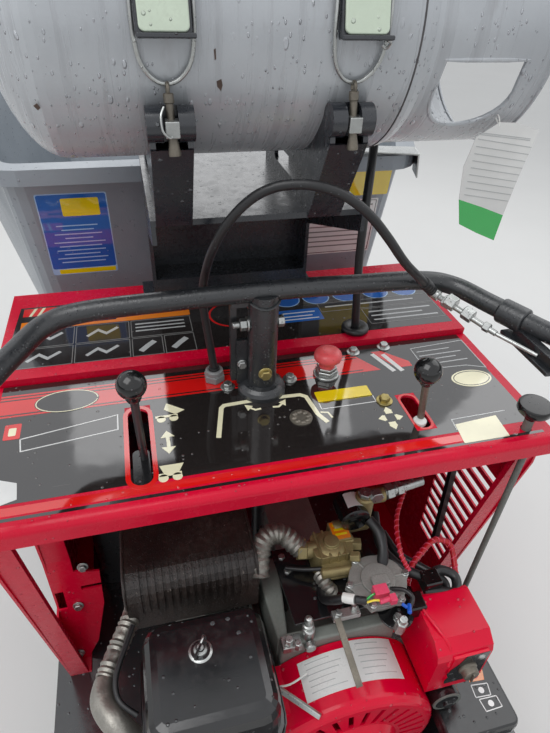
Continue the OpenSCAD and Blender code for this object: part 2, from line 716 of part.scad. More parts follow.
module control_box() {
  box_x0 = 192;
  box_x1 = 284;
  top = bay_z - 250;
  color(red) {
    // Box with a sloping front edge, and its bracket to the crankcase
    plate_yz(box_x0, box_x1) translate([panel_y, 0]) polygon([
      [-66, top - 122], [-66, top - 4], [-72, top], [-138, top - 2], [-156, top - 16], [-160, top - 28], [-160, top - 122]
    ]);
    block([crank_x + 95 + seat_gap, panel_y - 67, deck_h + 205], [crank_x + 101, panel_y - 30, deck_h + 300]);
    block([crank_x + 96, panel_y - 67, deck_h + 250], [box_x1 - 4, panel_y - 61, deck_h + 300]);
  }
  // Key switch in its black face
  color(black) block([box_x0 + 26, panel_y - 162, top - 100], [box_x1 - 8, panel_y - 158, top - 22]);
  color(steel) bar_y([box_x0 + 56, panel_y - 172, top - 60], 12, 14);
}

module battery_box() {
  lid_z = deck_h + 175;
  color(black) {
    round_box([226, panel_y - 214, deck_h], [344, panel_y - 84, lid_z - 10], 8);
    cover([220, panel_y - 220], [350, panel_y - 78], 14, [[0, lid_z - 26], [0, lid_z - 8], [2, lid_z - 2], [5, lid_z]]);
  }
}

module hydraulic_pump() {
  color(steel) {
    bar_y([crank_x, engine_y1 + 0.3, crank_z], 62, 50);
    block([crank_x - 35, engine_y1 + 50, crank_z - 55], [crank_x + 65, engine_y1 + 180, crank_z + 55]);
    block([crank_x - 30, engine_y1 + 60, deck_h], [crank_x + 60, engine_y1 + 170, crank_z - 50]);
  }
}

axle_r = 45;
stub_r = 20;
twin_gap = 10;
drive_x1 = width_all / 2;
drive_x0 = drive_x1 - 2 * drive_w - twin_gap;
module drive_axle() {
  color(black) {
    bar_x([-drive_x0 + 10, drive_y, drive_r], axle_r, 2 * drive_x0 - 20);
    round_box([-95, drive_y - 90, drive_r - 80], [95, drive_y + 90, drive_r + 85], 25);
    both_sides() block([rail_x - 30, drive_y - 40, drive_r], [rail_x + 30, drive_y + 40, rail_bottom]);
  }
  color(steel) both_sides() bar_x([drive_x0 - 12, drive_y, drive_r], stub_r, drive_x1 - drive_x0 - 60);
}

// A tyre's section, from its bead to its tread, turned about the wheel's axis
module tyre_ring(r, w, bead_r) {
  s = w / 2;
  rotate([0, 90, 0]) rotate_extrude() polygon([
    [bead_r, -s * 0.72], [bead_r + 8, -s * 0.8], [(r + bead_r) / 2, -s], [r - 26, -s * 0.97],
    [r - 8, -s * 0.78], [r, -s * 0.4], [r, s * 0.4], [r - 8, s * 0.78],
    [r - 26, s * 0.97], [(r + bead_r) / 2, s], [bead_r + 8, s * 0.8], [bead_r, s * 0.72]
  ]);
}

// A pressed wheel: barrel, disc and hub, with its axis along X
module rim_ring(bead_r, w, hub_r, bore_r) {
  s = w / 2;
  rotate([0, 90, 0]) rotate_extrude() polygon([
    [bore_r, -s * 0.5], [hub_r, -s * 0.5], [hub_r, 0], [bead_r - 14, 4], [bead_r - 10, -s * 0.7],
    [bead_r - 0.3, -s * 0.7], [bead_r - 0.3, s * 0.7], [bead_r - 10, s * 0.7], [bead_r - 14, 10],
    [hub_r, 8], [hub_r, s * 0.5], [bore_r, s * 0.5]
  ]);
}

drive_bead = 102;
twin_x = [drive_x0 + drive_w / 2, drive_x1 - drive_w / 2];
module front_tyres() {
  color(tyre_black) for (x = twin_x) translate([x, drive_y, drive_r]) tyre_ring(drive_r, drive_w, drive_bead);
}
module front_rims() {
  color(red) {
    for (x = twin_x) translate([x, drive_y, drive_r]) rim_ring(drive_bead, drive_w, 50, stub_r + fit);
    translate([drive_x0 + 20, drive_y, drive_r]) rotate([0, 90, 0]) difference() {
      cylinder(r = 45, h = drive_x1 - drive_x0 - 60);
      translate([0, 0, -1]) cylinder(r = stub_r + fit, h = drive_x1 - drive_x0);
    }
  }
}
module front_tyres_right() { front_tyres(); }
module front_tyres_left() { mirror([1, 0, 0]) front_tyres(); }
module front_rims_right() { front_rims(); }
module front_rims_left() { mirror([1, 0, 0]) front_rims(); }

// Steered axle: beam with an eye for each kingpin
kingpin_r = 10;
eye_h = 44;
module rear_axle() {
  color(black) difference() {
    union() {
      block([-kingpin_x, -steer_y - 22, steer_r - 20], [kingpin_x, -steer_y + 22, steer_r + 20]);
      both_sides() bar_z([kingpin_x, -steer_y, steer_r - eye_h / 2], 20, eye_h);
      for (x = [-80, 80]) block([x - 28, -steer_y - 30, steer_r + 19], [x + 28, -steer_y + 30, steer_r + 25]);
    }
    both_sides() bar_z([kingpin_x, -steer_y, steer_r - 50], kingpin_r + fit, 100);
  }
}

steer_x = kingpin_x + steer_offset;
stub2_r = 12;
arm_z = steer_r - 34;
module knuckle() {
  ear = 10;
  color(black) difference() {
    union() {
      for (z = [steer_r - eye_h / 2 - ear - 0.5, steer_r + eye_h / 2 + 0.5])
        translate([0, 0, z]) linear_extrude(ear) {
          translate([kingpin_x, -steer_y]) circle(18);
          translate([kingpin_x, -steer_y - 14]) square([28, 28]);
        }
      block([kingpin_x + 21, -steer_y - 16, steer_r - eye_h / 2 - ear - 0.5],
            [kingpin_x + 29, -steer_y + 16, steer_r + eye_h / 2 + ear + 0.5]);
      // Steering arm, forward from the lower ear
      block([kingpin_x - 9, -steer_y, arm_z - 9], [kingpin_x + 9, -steer_y + arm_length, arm_z + 1.5]);
      bar_z([kingpin_x, -steer_y + arm_length, arm_z - 9], 12, 10.5);
    }
    bar_z([kingpin_x, -steer_y + arm_length, arm_z - 20], 6 + fit, 40);
  }
  color(steel) {
    bar_z([kingpin_x, -steer_y, steer_r - eye_h / 2 - ear - 4], kingpin_r, eye_h + 2 * ear + 8);
    bar_x([kingpin_x + 25, -steer_y, steer_r], stub2_r, steer_offset + 8);
  }
}
module knuckle_right() { knuckle(); }
module knuckle_left() { mirror([1, 0, 0]) knuckle(); }

link_t = 14;
rod_z = arm_z - 9.3 - link_t;
link_z = arm_z + 1.8;
foot_z = link_z + link_t + 5.5;
module tie_rod() {
  color(steel) {
    bar_x([-kingpin_x, -steer_y + arm_length, rod_z + 7], 7, 2 * kingpin_x);
    both_sides() bar_z([kingpin_x, -steer_y + arm_length, rod_z], 12, link_t);
    both_sides() bar_z([kingpin_x, -steer_y + arm_length, rod_z + 13], 6, 24);
  }
}

module drag_link() {
  from = [0, shaft_y + arm_length];
  to = [-kingpin_x, -steer_y + arm_length];
  a = atan2(to[1] - from[1], to[0] - from[0]);
  color(steel) difference() {
    union() {
      translate([from[0], from[1], link_z + 7]) rotate([0, 0, a]) rotate([0, 90, 0]) cylinder(r = 7, h = norm(to - from));
      for (p = [from, to]) bar_z([p[0], p[1], link_z], 12, link_t);
    }
    for (p = [from, to]) bar_z([p[0], p[1], link_z - 5], 6 + fit, 30);
  }
}

steer_bead = 77;
module rear_tyre() { color(tyre_black) translate([steer_x, -steer_y, steer_r]) tyre_ring(steer_r, steer_w, steer_bead); }
module rear_rim() {
  color(red) translate([steer_x, -steer_y, steer_r]) rotate([0, 90, 0]) rotate_extrude() polygon([
    [stub2_r + fit, -8], [26, -8], [26, 4], [steer_bead - 12, 6], [steer_bead - 7, -steer_w * 0.36],
    [steer_bead - 0.3, -steer_w * 0.36], [steer_bead - 0.3, steer_w * 0.36], [steer_bead - 7, steer_w * 0.36],
    [steer_bead - 12, 12], [26, 12], [26, 34], [stub2_r + fit, 34]
  ]);
}
module rear_tyre_right() { rear_tyre(); }
module rear_tyre_left() { mirror([1, 0, 0]) rear_tyre(); }
module rear_rim_right() { rear_rim(); }
module rear_rim_left() { mirror([1, 0, 0]) rear_rim(); }

// Handlebar points for the right half, from the column's foot on the panel
bar_pts = [
  [0, 0, bar_h], [120, 0, bar_h - 2], [235, 0, bar_h - 6], [285, -14, bar_h - 12],
  [318, -62, bar_h - 18], [350, -130, bar_h - 20], [380, -220, bar_h - 14], [392, -330, bar_h - 8]
];
function mirrored(p) = [for (i = [len(p) - 1:-1:1]) [-p[i][0], p[i][1], p[i][2]]];
module handlebar() {
  translate([0, shaft_y, panel_h]) {
    color(black) {
      swept_tube(smooth_route(concat(mirrored(bar_pts), bar_pts), 3), bar_r, 16);
      // Bracket of the right hand's lever, clamped under the arm
      lever_rod([326, -79, 154], [343, -115, 153], bar_r + 4);
      block([322, -200, 126], [352, -96, 132]);
      block([330, -196, 122], [344, -110, 146]);
    }
    // Adjuster of the cable, from its coupling to the bracket
    color(steel) {
      lever_rod([252, -19, 154], [300, -116, 140], 4);
      for (q = [[[262, -40, 155], [270, -54, 152]], [[276, -66, 149], [284, -80, 146]]]) lever_rod(q[0], q[1], 9);
      lever_rod([300, -116, 140], [330, -168, 136], 3);
    }
  }
}

module steering_column() {
  color(black) difference() {
    union() {
      // Domed foot, tube coped to the crossbar, and flat bars beside the tube up to the crossbar
      translate([0, shaft_y, panel_h + seat_gap]) rotate_extrude() polygon([
        [0, 0], [37, 0], [37, 7], [34, 12], [29, 16], [22, 18], [22, bar_h - 2], [0, bar_h - 2]
      ]);
      block([-46, shaft_y + 8, panel_h + 16], [-37, shaft_y + 20, panel_h + bar_h]);
      block([-38, shaft_y + 4, panel_h + 12], [-21, shaft_y + 10, panel_h + 92]);
      block([-46, shaft_y - 2, panel_h + bar_h - 22], [0, shaft_y + 20, panel_h + bar_h - 8]);
    }
    bar_x([-60, shaft_y, panel_h + bar_h], bar_r + 0.3, 120);
  }
  // Bolts through the tube
  color(steel) {
    bar_x([-44, shaft_y, panel_h + 122], 4.5, 72);
    bar_y([0, shaft_y - 27, panel_h + 44], 6, 10);
  }
  color(steel) bar_z([0, shaft_y, foot_z], shaft_r, panel_h - foot_z + 40);
  // Arm at the shaft's foot, above the drag link, and its pin
  color(black) {
    block([-9, shaft_y, foot_z], [9, shaft_y + arm_length, foot_z + 11]);
    bar_z([0, shaft_y + arm_length, foot_z], 12, 11);
    bar_z([0, shaft_y, foot_z], 18, 45);
  }
  color(steel) bar_z([0, shaft_y + arm_length, link_z - 1], 6, foot_z - link_z + 5);
}

module panel_controls() {
  translate([0, panel_y, panel_h]) {
    color(black) {
      // Travel lever and hoist lever: base, rod, knob and its collar
      for (q = [[[-186, 88, -62], [-186, 43, 150], 17.5], [[232, 85, -62], [193, 46, 110], 19]]) {
        lever_rod(q[0], q[1], 6);
        translate(q[1]) sphere(r = q[2]);
        bar_x(q[0] - [20, 0, 0], 14, 40);
        block([q[0][0] + 17, q[0][1] - 36, -80], [q[0][0] + 25, q[0][1] + 28, -sheet]);
      }
      // Parking brake's knob
      translate([brake_x, brake_y, 30]) cylinder(r = 20, h = 6);
      translate([brake_x, brake_y, 35]) cylinder(r = 24, h = 13);
      // Gland nut of the cable and grommet of the hose
      for (q = [[-68, 222, 0, 15, 20], [198, 299, hood_step, 15, 9]])
        translate([q[0], q[1], q[2]]) difference() {
          cylinder(r = q[3], h = q[4]);
          translate([0, 0, -1]) cylinder(r = 8, h = q[4] + 2);
        }
    }
    color(steel) {
      translate([brake_x, brake_y, -34]) cylinder(r = 7, h = 66);
      // Brake rod down to the deck, behind the panel's lip
      lever_rod([brake_x, brake_y, -28], [brake_x - 2, -2, -28], 5);
      lever_rod([brake_x - 2, -2, -24], [brake_x - 3, -2, deck_h - panel_h + 0.3], 5);
    }
    // Stop button on its collar
    color([0.75, 0.1, 0.1]) translate([111, 198, 0]) {
      cylinder(r = 16, h = 31);
      rotate_extrude() polygon([[0, 30], [19, 30], [21.5, 33], [21.5, 42], [19, 47], [12, 51], [0, 53]]);
    }
  }
}

// A round rod between two points
module lever_rod(a, b, r) {
  d = b - a;
  translate(a) rotate([0, acos(d[2] / norm(d)), atan2(d[1], d[0])]) cylinder(r = r, h = norm(d));
}

// Tub corners from rear to front, columns: half width, Y, Z, corner radius
tub_low = [
  [205, 195, tub_floor_z, 40], [235, 420, tub_floor_z, 40], [235, 800, tub_floor_z, 40], [215, 885, tub_floor_z, 40]
];
tub_knee = [
  [345, 172, tub_floor_z + 100, 50], [400, 420, tub_floor_z + 100, 50],
  [400, 820, tub_floor_z + 100, 50], [350, 985, tub_floor_z + 110, 60]
];
tub_rim = [
  [395, panel_y + 585, tub_rim_z, 45], [tub_half_w, 420, tub_rim_z, 60],
  [tub_half_w - 10, 860, tub_rim_z, 60], [400, front_y - 28, tub_rim_z - 60, 60]
];
tub_flange = 28;
tub_lip = 28;
flange_t = 8;
// Directions in which each corner's arc is cut, rear to front
tub_angles = [[-90, -68, -46, -28, -12], [-12, 0], [0, 14], [14, 34, 54, 72, 90]];
function tub_side(level, grow, lift) = [for (c = [0:3]) for (a = tub_angles[c]) let (p = level[c], r = p[3] + grow)
  [p[0] - p[3] + r * cos(a), p[1] + (c < 2 ? p[3] : -p[3]) + r * sin(a), p[2] + lift]];
function tub_ring(level, grow, lift) = let (side = tub_side(level, grow, lift))
  concat(side, [for (i = [len(side) - 1:-1:0]) [-side[i][0], side[i][1], side[i][2]]]);
module tub() {
  color([0.16, 0.17, 0.18]) loft([
    tub_ring(tub_low, 0, 0), tub_ring(tub_knee, 0, 0), tub_ring(tub_rim, 0, -flange_t),
    tub_ring(tub_rim, tub_flange - 7, -flange_t), tub_ring(tub_rim, tub_flange - 7, -tub_lip),
    tub_ring(tub_rim, tub_flange, -tub_lip), tub_ring(tub_rim, tub_flange, 0),
    tub_ring(tub_rim, -tub_wall, 0), tub_ring(tub_knee, -tub_wall, tub_wall / 2), tub_ring(tub_low, -tub_wall, tub_wall)
  ]);
}

module tub_frame() {
  w = rail_w - 24;
  rib_x0 = dump_eye_w / 2 + 2;
  color(black) difference() {
    union() {
      both_sides() {
        block([rail_x - w / 2, 205, tub_rail_z], [rail_x + w / 2, hinge_y, tub_floor_z]);
        bar_x([rail_x - w / 2, hinge_y, hinge_z], 22, w);
        // Ribs and ear that hold the dump cylinder's rod
        block([rib_x0, rod_pin_y - 55, tub_floor_z - 30], [rib_x0 + 12, 770, tub_floor_z]);
        plate_yz(rib_x0, rib_x0 + 12) {
          translate([rod_pin_y, rod_pin_z]) circle(22);
          translate([rod_pin_y - 22, rod_pin_z]) square([44, tub_floor_z - rod_pin_z]);
        }
      }
      for (y = [205, 760]) block([-rail_x, y, tub_floor_z - 40], [rail_x, y + 50, tub_floor_z]);
    }
    both_sides() {
      bar_x([rail_x - w, hinge_y, hinge_z], pin_r + fit, 2 * w);
      bar_x([rib_x0 - 5, rod_pin_y, rod_pin_z], pin_r + fit, 30);
    }
  }
}

module along_dump() {
  translate([0, base_pin_y, base_pin_z]) rotate([dump_tilt, 0, 0]) children();
}
module dump_barrel() {
  color(black) along_dump() difference() {
    union() {
      bar_y([0, 22, 0], barrel_r, barrel_l);
      bar_x([-dump_eye_w / 2, 0, 0], 20, dump_eye_w);
      block([-18, 0, -16], [18, 30, 16]);
    }
    bar_y([0, 40, 0], rod_r + seat_gap, barrel_l);
    bar_x([-25, 0, 0], pin_r + fit, 50);
  }
}
module dump_rod() {
  color(steel) along_dump() {
    bar_y([0, 50, 0], rod_r, dump_len - 60);
    bar_x([-dump_eye_w / 2, dump_len, 0], 20, dump_eye_w);
  }
}

main_frame();
deck();
operator_platform();
console_panel();
hood_panel();
front_sheet();
side_panel_left();
side_panel_right();
hydraulic_tank();
tank_cradle();
gas_cylinder();
cylinder_valve();
tank_straps();
gas_hose();
control_cable();
engine_block();
cylinder_head();
fan_cover();
air_cleaner();
muffler();
gas_mixer();
control_box();
battery_box();
hydraulic_pump();
drive_axle();
front_tyres_left();
front_rims_left();
front_tyres_right();
front_rims_right();
rear_axle();
knuckle_left();
knuckle_right();
tie_rod();
drag_link();
rear_tyre_left();
rear_rim_left();
rear_tyre_right();
rear_rim_right();
handlebar();
steering_column();
panel_controls();
tub();
tub_frame();
dump_barrel();
dump_rod();
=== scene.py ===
"""Looks of a stand-on concrete power buggy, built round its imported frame.

Lengths are millimetres in the console's own frame: X to the operator's right, Y forward from the
near edge of the lower control panel, Z up from that panel's face.
"""

import json
from math import asin, cos, degrees, pi, radians, sin, sqrt, tan

import bmesh
import bpy
from mathutils import Matrix, Vector

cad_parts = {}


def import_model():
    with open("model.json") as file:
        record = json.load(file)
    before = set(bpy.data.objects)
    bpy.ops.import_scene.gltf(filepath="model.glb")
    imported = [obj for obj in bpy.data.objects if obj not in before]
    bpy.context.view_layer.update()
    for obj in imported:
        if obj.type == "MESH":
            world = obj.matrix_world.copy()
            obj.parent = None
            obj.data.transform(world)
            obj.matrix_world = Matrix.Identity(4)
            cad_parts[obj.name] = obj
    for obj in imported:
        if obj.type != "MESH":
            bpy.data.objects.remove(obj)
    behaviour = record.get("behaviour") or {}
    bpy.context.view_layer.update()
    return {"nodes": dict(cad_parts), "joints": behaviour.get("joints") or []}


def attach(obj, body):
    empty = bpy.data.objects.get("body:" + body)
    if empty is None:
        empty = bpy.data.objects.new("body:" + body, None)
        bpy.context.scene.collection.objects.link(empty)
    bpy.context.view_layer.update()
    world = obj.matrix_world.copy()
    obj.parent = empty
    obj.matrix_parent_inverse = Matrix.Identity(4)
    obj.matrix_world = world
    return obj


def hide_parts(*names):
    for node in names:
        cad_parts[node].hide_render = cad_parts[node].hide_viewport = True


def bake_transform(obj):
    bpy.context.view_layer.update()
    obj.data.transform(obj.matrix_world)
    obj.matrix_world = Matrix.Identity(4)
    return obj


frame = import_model()

X, Y, Z = Vector((1, 0, 0)), Vector((0, 1, 0)), Vector((0, 0, 1))
COLUMN_Y = 185
COLUMN = next(j["pos_m"] for j in frame["joints"] if j["name"] == "steering")
ORIGIN = Vector((0, COLUMN[1] * 1000 - COLUMN_Y, COLUMN[2] * 1000))
HOOD_Z = 11
DECK_Z = -607


# Camera, at the photograph's angle

PHOTO_H = 733
FOCAL_PX = 541.7
SENSOR = 24.0
CAMERA_PLACE = (-0.1571, -0.9528, 1.5412)
YAW_PITCH_ROLL = (15.579, 37.149, -2.544)


def place_camera():
    yaw, pitch, roll = (radians(a) for a in YAW_PITCH_ROLL)
    forward = Vector((sin(yaw) * cos(pitch), cos(yaw) * cos(pitch), -sin(pitch)))
    right = Vector((cos(yaw), -sin(yaw), 0))
    down = forward.cross(right)
    turned_right = right * cos(roll) + down * sin(roll)
    turned_down = down * cos(roll) - right * sin(roll)
    camera = bpy.data.objects.new("camera", bpy.data.cameras.new("camera"))
    bpy.context.scene.collection.objects.link(camera)
    turn = Matrix((turned_right, -turned_down, -forward)).transposed()
    camera.matrix_world = Matrix.Translation(CAMERA_PLACE) @ turn.to_4x4()
    camera.data.sensor_fit = "VERTICAL"
    camera.data.sensor_height = SENSOR
    camera.data.lens = FOCAL_PX / PHOTO_H * SENSOR
    camera.data.clip_start = 0.02
    bpy.context.scene.camera = camera


place_camera()


# Node trees

def srgb(r, g, b):
    """A colour as it shows on screen, 0 to 255, as a linear one."""
    return tuple((c / 255 / 12.92 if c <= 10 else ((c / 255 + 0.055) / 1.055) ** 2.4)
                 for c in (r, g, b)) + (1,)


class Nodes:
    """A node tree, with short calls that add a node and feed its inputs."""

    def __init__(self, owner):
        owner.use_nodes = True
        self.nodes = owner.node_tree.nodes
        self.links = owner.node_tree.links

    def feed(self, node, inputs):
        for key, value in inputs.items():
            if isinstance(value, bpy.types.NodeSocket):
                self.links.new(value, node.inputs[key])
            else:
                node.inputs[key].default_value = value

    def add(self, kind, inputs=None, **settings):
        node = self.nodes.new(kind)
        for key, value in settings.items():
            setattr(node, key, value)
        self.feed(node, inputs or {})
        return node

    def math(self, operation, a, b=0.0):
        return self.add("ShaderNodeMath", {0: a, 1: b}, operation=operation).outputs[0]


class Tree(Nodes):
    """One material's nodes, with short calls for the ones used here."""

    def __init__(self, name):
        self.material = bpy.data.materials.new(name)
        super().__init__(self.material)
        self.shader = self.nodes["Principled BSDF"]
        self.place = self.add("ShaderNodeTexCoord").outputs["Object"]

    def stretch(self, scale):
        return self.add("ShaderNodeMapping", {"Vector": self.place, "Scale": scale}).outputs[0]

    def noise(self, scale, detail=4.0, rough=0.55, place=None):
        inputs = {"Vector": place or self.place, "Scale": scale, "Detail": detail, "Roughness": rough}
        return self.add("ShaderNodeTexNoise", inputs).outputs["Fac"]

    def span(self, value, low, high, to_low=0.0, to_high=1.0, smooth=False):
        inputs = {"Value": value, "From Min": low, "From Max": high, "To Min": to_low, "To Max": to_high}
        kind = "SMOOTHSTEP" if smooth else "LINEAR"
        return self.add("ShaderNodeMapRange", inputs, interpolation_type=kind).outputs[0]

    def mix(self, factor, a, b):
        return self.add("ShaderNodeMix", {0: factor, 6: a, 7: b}, data_type="RGBA").outputs[2]

    def drops(self, scale, share, place=None):
        """Domes of water, one in each cell of a random share of cells."""
        cell = self.add("ShaderNodeTexVoronoi", {"Vector": place or self.place, "Scale": scale})
        parts = self.add("ShaderNodeSeparateColor", {0: cell.outputs["Color"]})
        radius = self.span(parts.outputs[0], 0, 1, 0.10, 0.34)
        there = self.math("LESS_THAN", parts.outputs[1], share)
        inside = self.math("SUBTRACT", radius, cell.outputs["Distance"])
        return self.math("MULTIPLY", self.span(inside, 0.0, 0.12, smooth=True), there)

    def bump(self, height, distance, under=None):
        inputs = {"Height": height, "Distance": distance, "Strength": 1.0}
        if under is not None:
            inputs["Normal"] = under
        return self.add("ShaderNodeBump", inputs).outputs[0]

    def finish(self, **inputs):
        self.feed(self.shader, {key.replace("_", " "): value for key, value in inputs.items()})
        return self.material


def shade(colour, factor):
    """A colour made darker or lighter."""
    return tuple(min(c * factor, 1) for c in colour[:3]) + (1,)


# The third colour is the painted highlight of water drops, mixed into their colour in place of their glint
DUST, RUST, DROP_HIGHLIGHT = (120, 112, 100), (120, 70, 45), (200, 205, 210)
LOOKS = {}


def coat(name, colour, rough=0.3, metallic=0.0, ior=1.5, patch=6.0, vary=0.18, grain=0.0, grain_scale=900,
         drops=0.0, drop_scale=110, dirt=0.1, dirt_colour=DUST, wear=0.0, wear_colour=RUST):
    """Paint, plastic or metal: uneven colour, grime in patches, fine grain, worn spots, and water drops whose
    paler colour is a painted highlight.
    """
    tree = Tree(name)
    colour, dirt_colour, wear_colour = srgb(*colour), srgb(*dirt_colour), srgb(*wear_colour)
    broad = tree.noise(patch, 5)
    fine = tree.noise(patch * 12, 6, 0.65)
    base = tree.mix(tree.span(broad, 0.35, 0.65), shade(colour, 1 - vary), shade(colour, 1 + vary))
    grime = tree.math("MULTIPLY", tree.span(fine, 0.45, 0.75), tree.span(broad, 0.4, 0.7))
    base = tree.mix(tree.math("MULTIPLY", grime, dirt), base, dirt_colour)
    gloss = tree.math("ADD", tree.span(fine, 0.3, 0.7, rough * 0.8, rough * 1.25),
                      tree.math("MULTIPLY", grime, 0.15))
    height = tree.math("MULTIPLY", tree.noise(grain_scale, 3), grain) if grain else None
    if wear:
        worn = tree.span(tree.noise(patch * 9, 8, 0.7), 0.74 - wear * 0.2, 0.76 - wear * 0.2)
        base = tree.mix(worn, base, wear_colour)
    normal = tree.bump(height, 0.001) if grain else None
    if drops:
        wet = tree.drops(drop_scale, drops)
        gloss = tree.math("MULTIPLY", gloss, tree.span(wet, 0, 0.3, 1, 0.15))
        # Drops painted paler: a painted highlight. Their gloss and bump are the real water
        base = tree.mix(tree.math("MULTIPLY", wet, 0.12), base, srgb(*DROP_HIGHLIGHT))
        normal = tree.bump(wet, 0.0016, normal)
    inputs = {"Base_Color": base, "Roughness": gloss, "Metallic": metallic, "IOR": ior}
    if normal is not None:
        inputs["Normal"] = normal
    LOOKS[name] = tree.finish(**inputs)


# Paints, metals, plastics and rubber. Colours are as they show on screen, 0 to 255

coat("red_paint", (214, 6, 50), 0.24, ior=1.36, vary=0.08, drops=0.22, drop_scale=130, dirt=0.06, grain=0.05,
     grain_scale=350)
coat("red_rim", (170, 18, 32), 0.4, vary=0.12, dirt=0.7, patch=9, wear=0.2)
coat("frame_black", (34, 35, 38), 0.3, ior=1.6, vary=0.2, drops=0.25, drop_scale=140, dirt=0.12,
     grain=0.12, grain_scale=600, wear=0.25)
coat("cradle_black", (36, 39, 45), 0.26, ior=1.65, vary=0.15, drops=0.3, drop_scale=120, dirt=0.05,
     wear=0.12)
coat("deck_black", (44, 45, 47), 0.16, ior=1.8, vary=0.15, drops=0.4, drop_scale=90, dirt=0.12, wear=0.1)
coat("bar_black", (33, 35, 38), 0.3, ior=1.65, vary=0.2, drops=0.45, drop_scale=210, dirt=0.04,
     grain=0.35, grain_scale=260, wear=0.1, wear_colour=(96, 52, 34))
coat("black_plastic", (24, 24, 26), 0.14, ior=1.62, vary=0.12, drops=0.3, drop_scale=90, dirt=0.05,
     grain=0.04, grain_scale=700)
coat("knob_black", (17, 17, 18), 0.12, ior=1.55, dirt=0.1, drops=0.35, drop_scale=200)
coat("heat_black", (46, 38, 35), 0.4, vary=0.35, drops=0.85, drop_scale=300, dirt=0.5,
     dirt_colour=(112, 100, 92), grain=0.8, grain_scale=420, wear=0.45, patch=11,
     wear_colour=(126, 116, 108))
coat("zinc", (176, 178, 176), 0.3, metallic=0.9, vary=0.15, patch=25, dirt=0.35,
     dirt_colour=(96, 90, 76), grain=0.1, drops=0.3, drop_scale=260)
coat("dull_steel", (120, 114, 104), 0.45, metallic=0.7, vary=0.25, patch=30, dirt=0.5,
     dirt_colour=(92, 76, 58), grain=0.3)
coat("alloy", (152, 152, 148), 0.5, metallic=0.6, vary=0.15, patch=30, dirt=0.5,
     dirt_colour=(84, 82, 74), grain=0.5, grain_scale=700)
coat("cast_grey", (118, 121, 116), 0.55, metallic=0.3, vary=0.15, patch=14, dirt=0.6,
     dirt_colour=(52, 52, 48), grain=0.7, grain_scale=500)
coat("brass", (150, 136, 96), 0.45, metallic=0.6, vary=0.2, patch=40, dirt=0.5,
     dirt_colour=(86, 78, 50), grain=0.4, grain_scale=800)
coat("yellow_zinc", (176, 160, 104), 0.32, metallic=0.85, vary=0.25, patch=60, dirt=0.4,
     dirt_colour=(96, 84, 50))
coat("rubber", (30, 30, 32), 0.38, vary=0.15, dirt=0.08, drops=0.3, drop_scale=260, grain=0.15)
coat("tyre", (33, 33, 33), 0.7, vary=0.15, patch=10, dirt=0.55, dirt_colour=(108, 102, 94),
     grain=0.4, grain_scale=400)
coat("engine_red", (222, 2, 50), 0.16, ior=1.36, vary=0.08, drops=0.3, drop_scale=100, dirt=0.08)
coat("white_label", (224, 224, 222), 0.45, vary=0.05, dirt=0.35, patch=30, wear=0.12,
     wear_colour=(60, 60, 60))
coat("pale_pad", (206, 219, 200), 0.35, vary=0.05, dirt=0.3, patch=20, drops=0.2, wear=0.15,
     wear_colour=(70, 74, 70))


def cylinder_look():
    """Grey paint with water running down the round side, in drops and in dark streaks. The drops are painted
    paler, a painted highlight.
    """
    tree = Tree("cylinder_grey")
    runs = tree.noise(1.0, 6, 0.6, tree.stretch((70, 4, 4)))
    broad = tree.noise(5, 4)
    base = tree.mix(tree.span(broad, 0.3, 0.7), srgb(166, 170, 175), srgb(192, 196, 200))
    base = tree.mix(tree.span(runs, 0.5, 0.72, 0, 0.3), base, srgb(112, 110, 114))
    stain = tree.noise(2.2, 7, 0.6, tree.stretch((14, 5, 5)))
    base = tree.mix(tree.span(stain, 0.6, 0.8, 0, 0.35), base, srgb(112, 100, 96))
    chips = tree.span(tree.noise(60, 3, 0.5), 0.775, 0.785)
    base = tree.mix(chips, base, srgb(74, 62, 58))
    small = tree.drops(1.0, 0.55, tree.stretch((210, 150, 110)))
    large = tree.drops(1.0, 0.30, tree.stretch((95, 70, 48)))
    wet = tree.math("MAXIMUM", small, large)
    wet = tree.math("MULTIPLY", wet, tree.span(tree.noise(9, 3), 0.4, 0.55))
    # Drops painted pale bluish grey: painted highlight of the water drops
    base = tree.mix(tree.math("MULTIPLY", wet, 0.35), base, srgb(214, 216, 224))
    rough = tree.math("MULTIPLY", tree.span(runs, 0.3, 0.7, 0.36, 0.22), tree.span(wet, 0, 0.3, 1, 0.2))
    normal = tree.bump(wet, 0.0022, tree.bump(tree.noise(240, 3), 0.00012))
    LOOKS["cylinder_grey"] = tree.finish(Base_Color=base, Roughness=rough, Normal=normal, Metallic=0.15,
                                         IOR=1.55)


def tub_look():
    """Charcoal skin, wet above, with chalky scuffs and drips of dried concrete."""
    tree = Tree("tub_charcoal")
    broad = tree.noise(3.5, 5)
    base = tree.mix(tree.span(broad, 0.35, 0.65), srgb(122, 130, 138), srgb(146, 153, 160))
    drips = tree.noise(1.0, 7, 0.62, tree.stretch((38, 38, 5)))
    base = tree.mix(tree.span(drips, 0.62, 0.8, 0, 0.25), base, srgb(132, 130, 126))
    chalk = tree.math("MULTIPLY", tree.noise(26, 9, 0.7), tree.span(tree.noise(4, 3), 0.45, 0.7))
    base = tree.mix(tree.span(chalk, 0.45, 0.6, 0, 0.4), base, srgb(140, 138, 134))
    wet = tree.drops(130, 0.3)
    rough = tree.math("MULTIPLY", tree.span(broad, 0.3, 0.7, 0.42, 0.26), tree.span(wet, 0, 0.3, 1, 0.3))
    normal = tree.bump(wet, 0.0015, tree.bump(tree.noise(420, 4), 0.0003))
    LOOKS["tub_charcoal"] = tree.finish(Base_Color=base, Roughness=rough, Normal=normal, IOR=1.6)


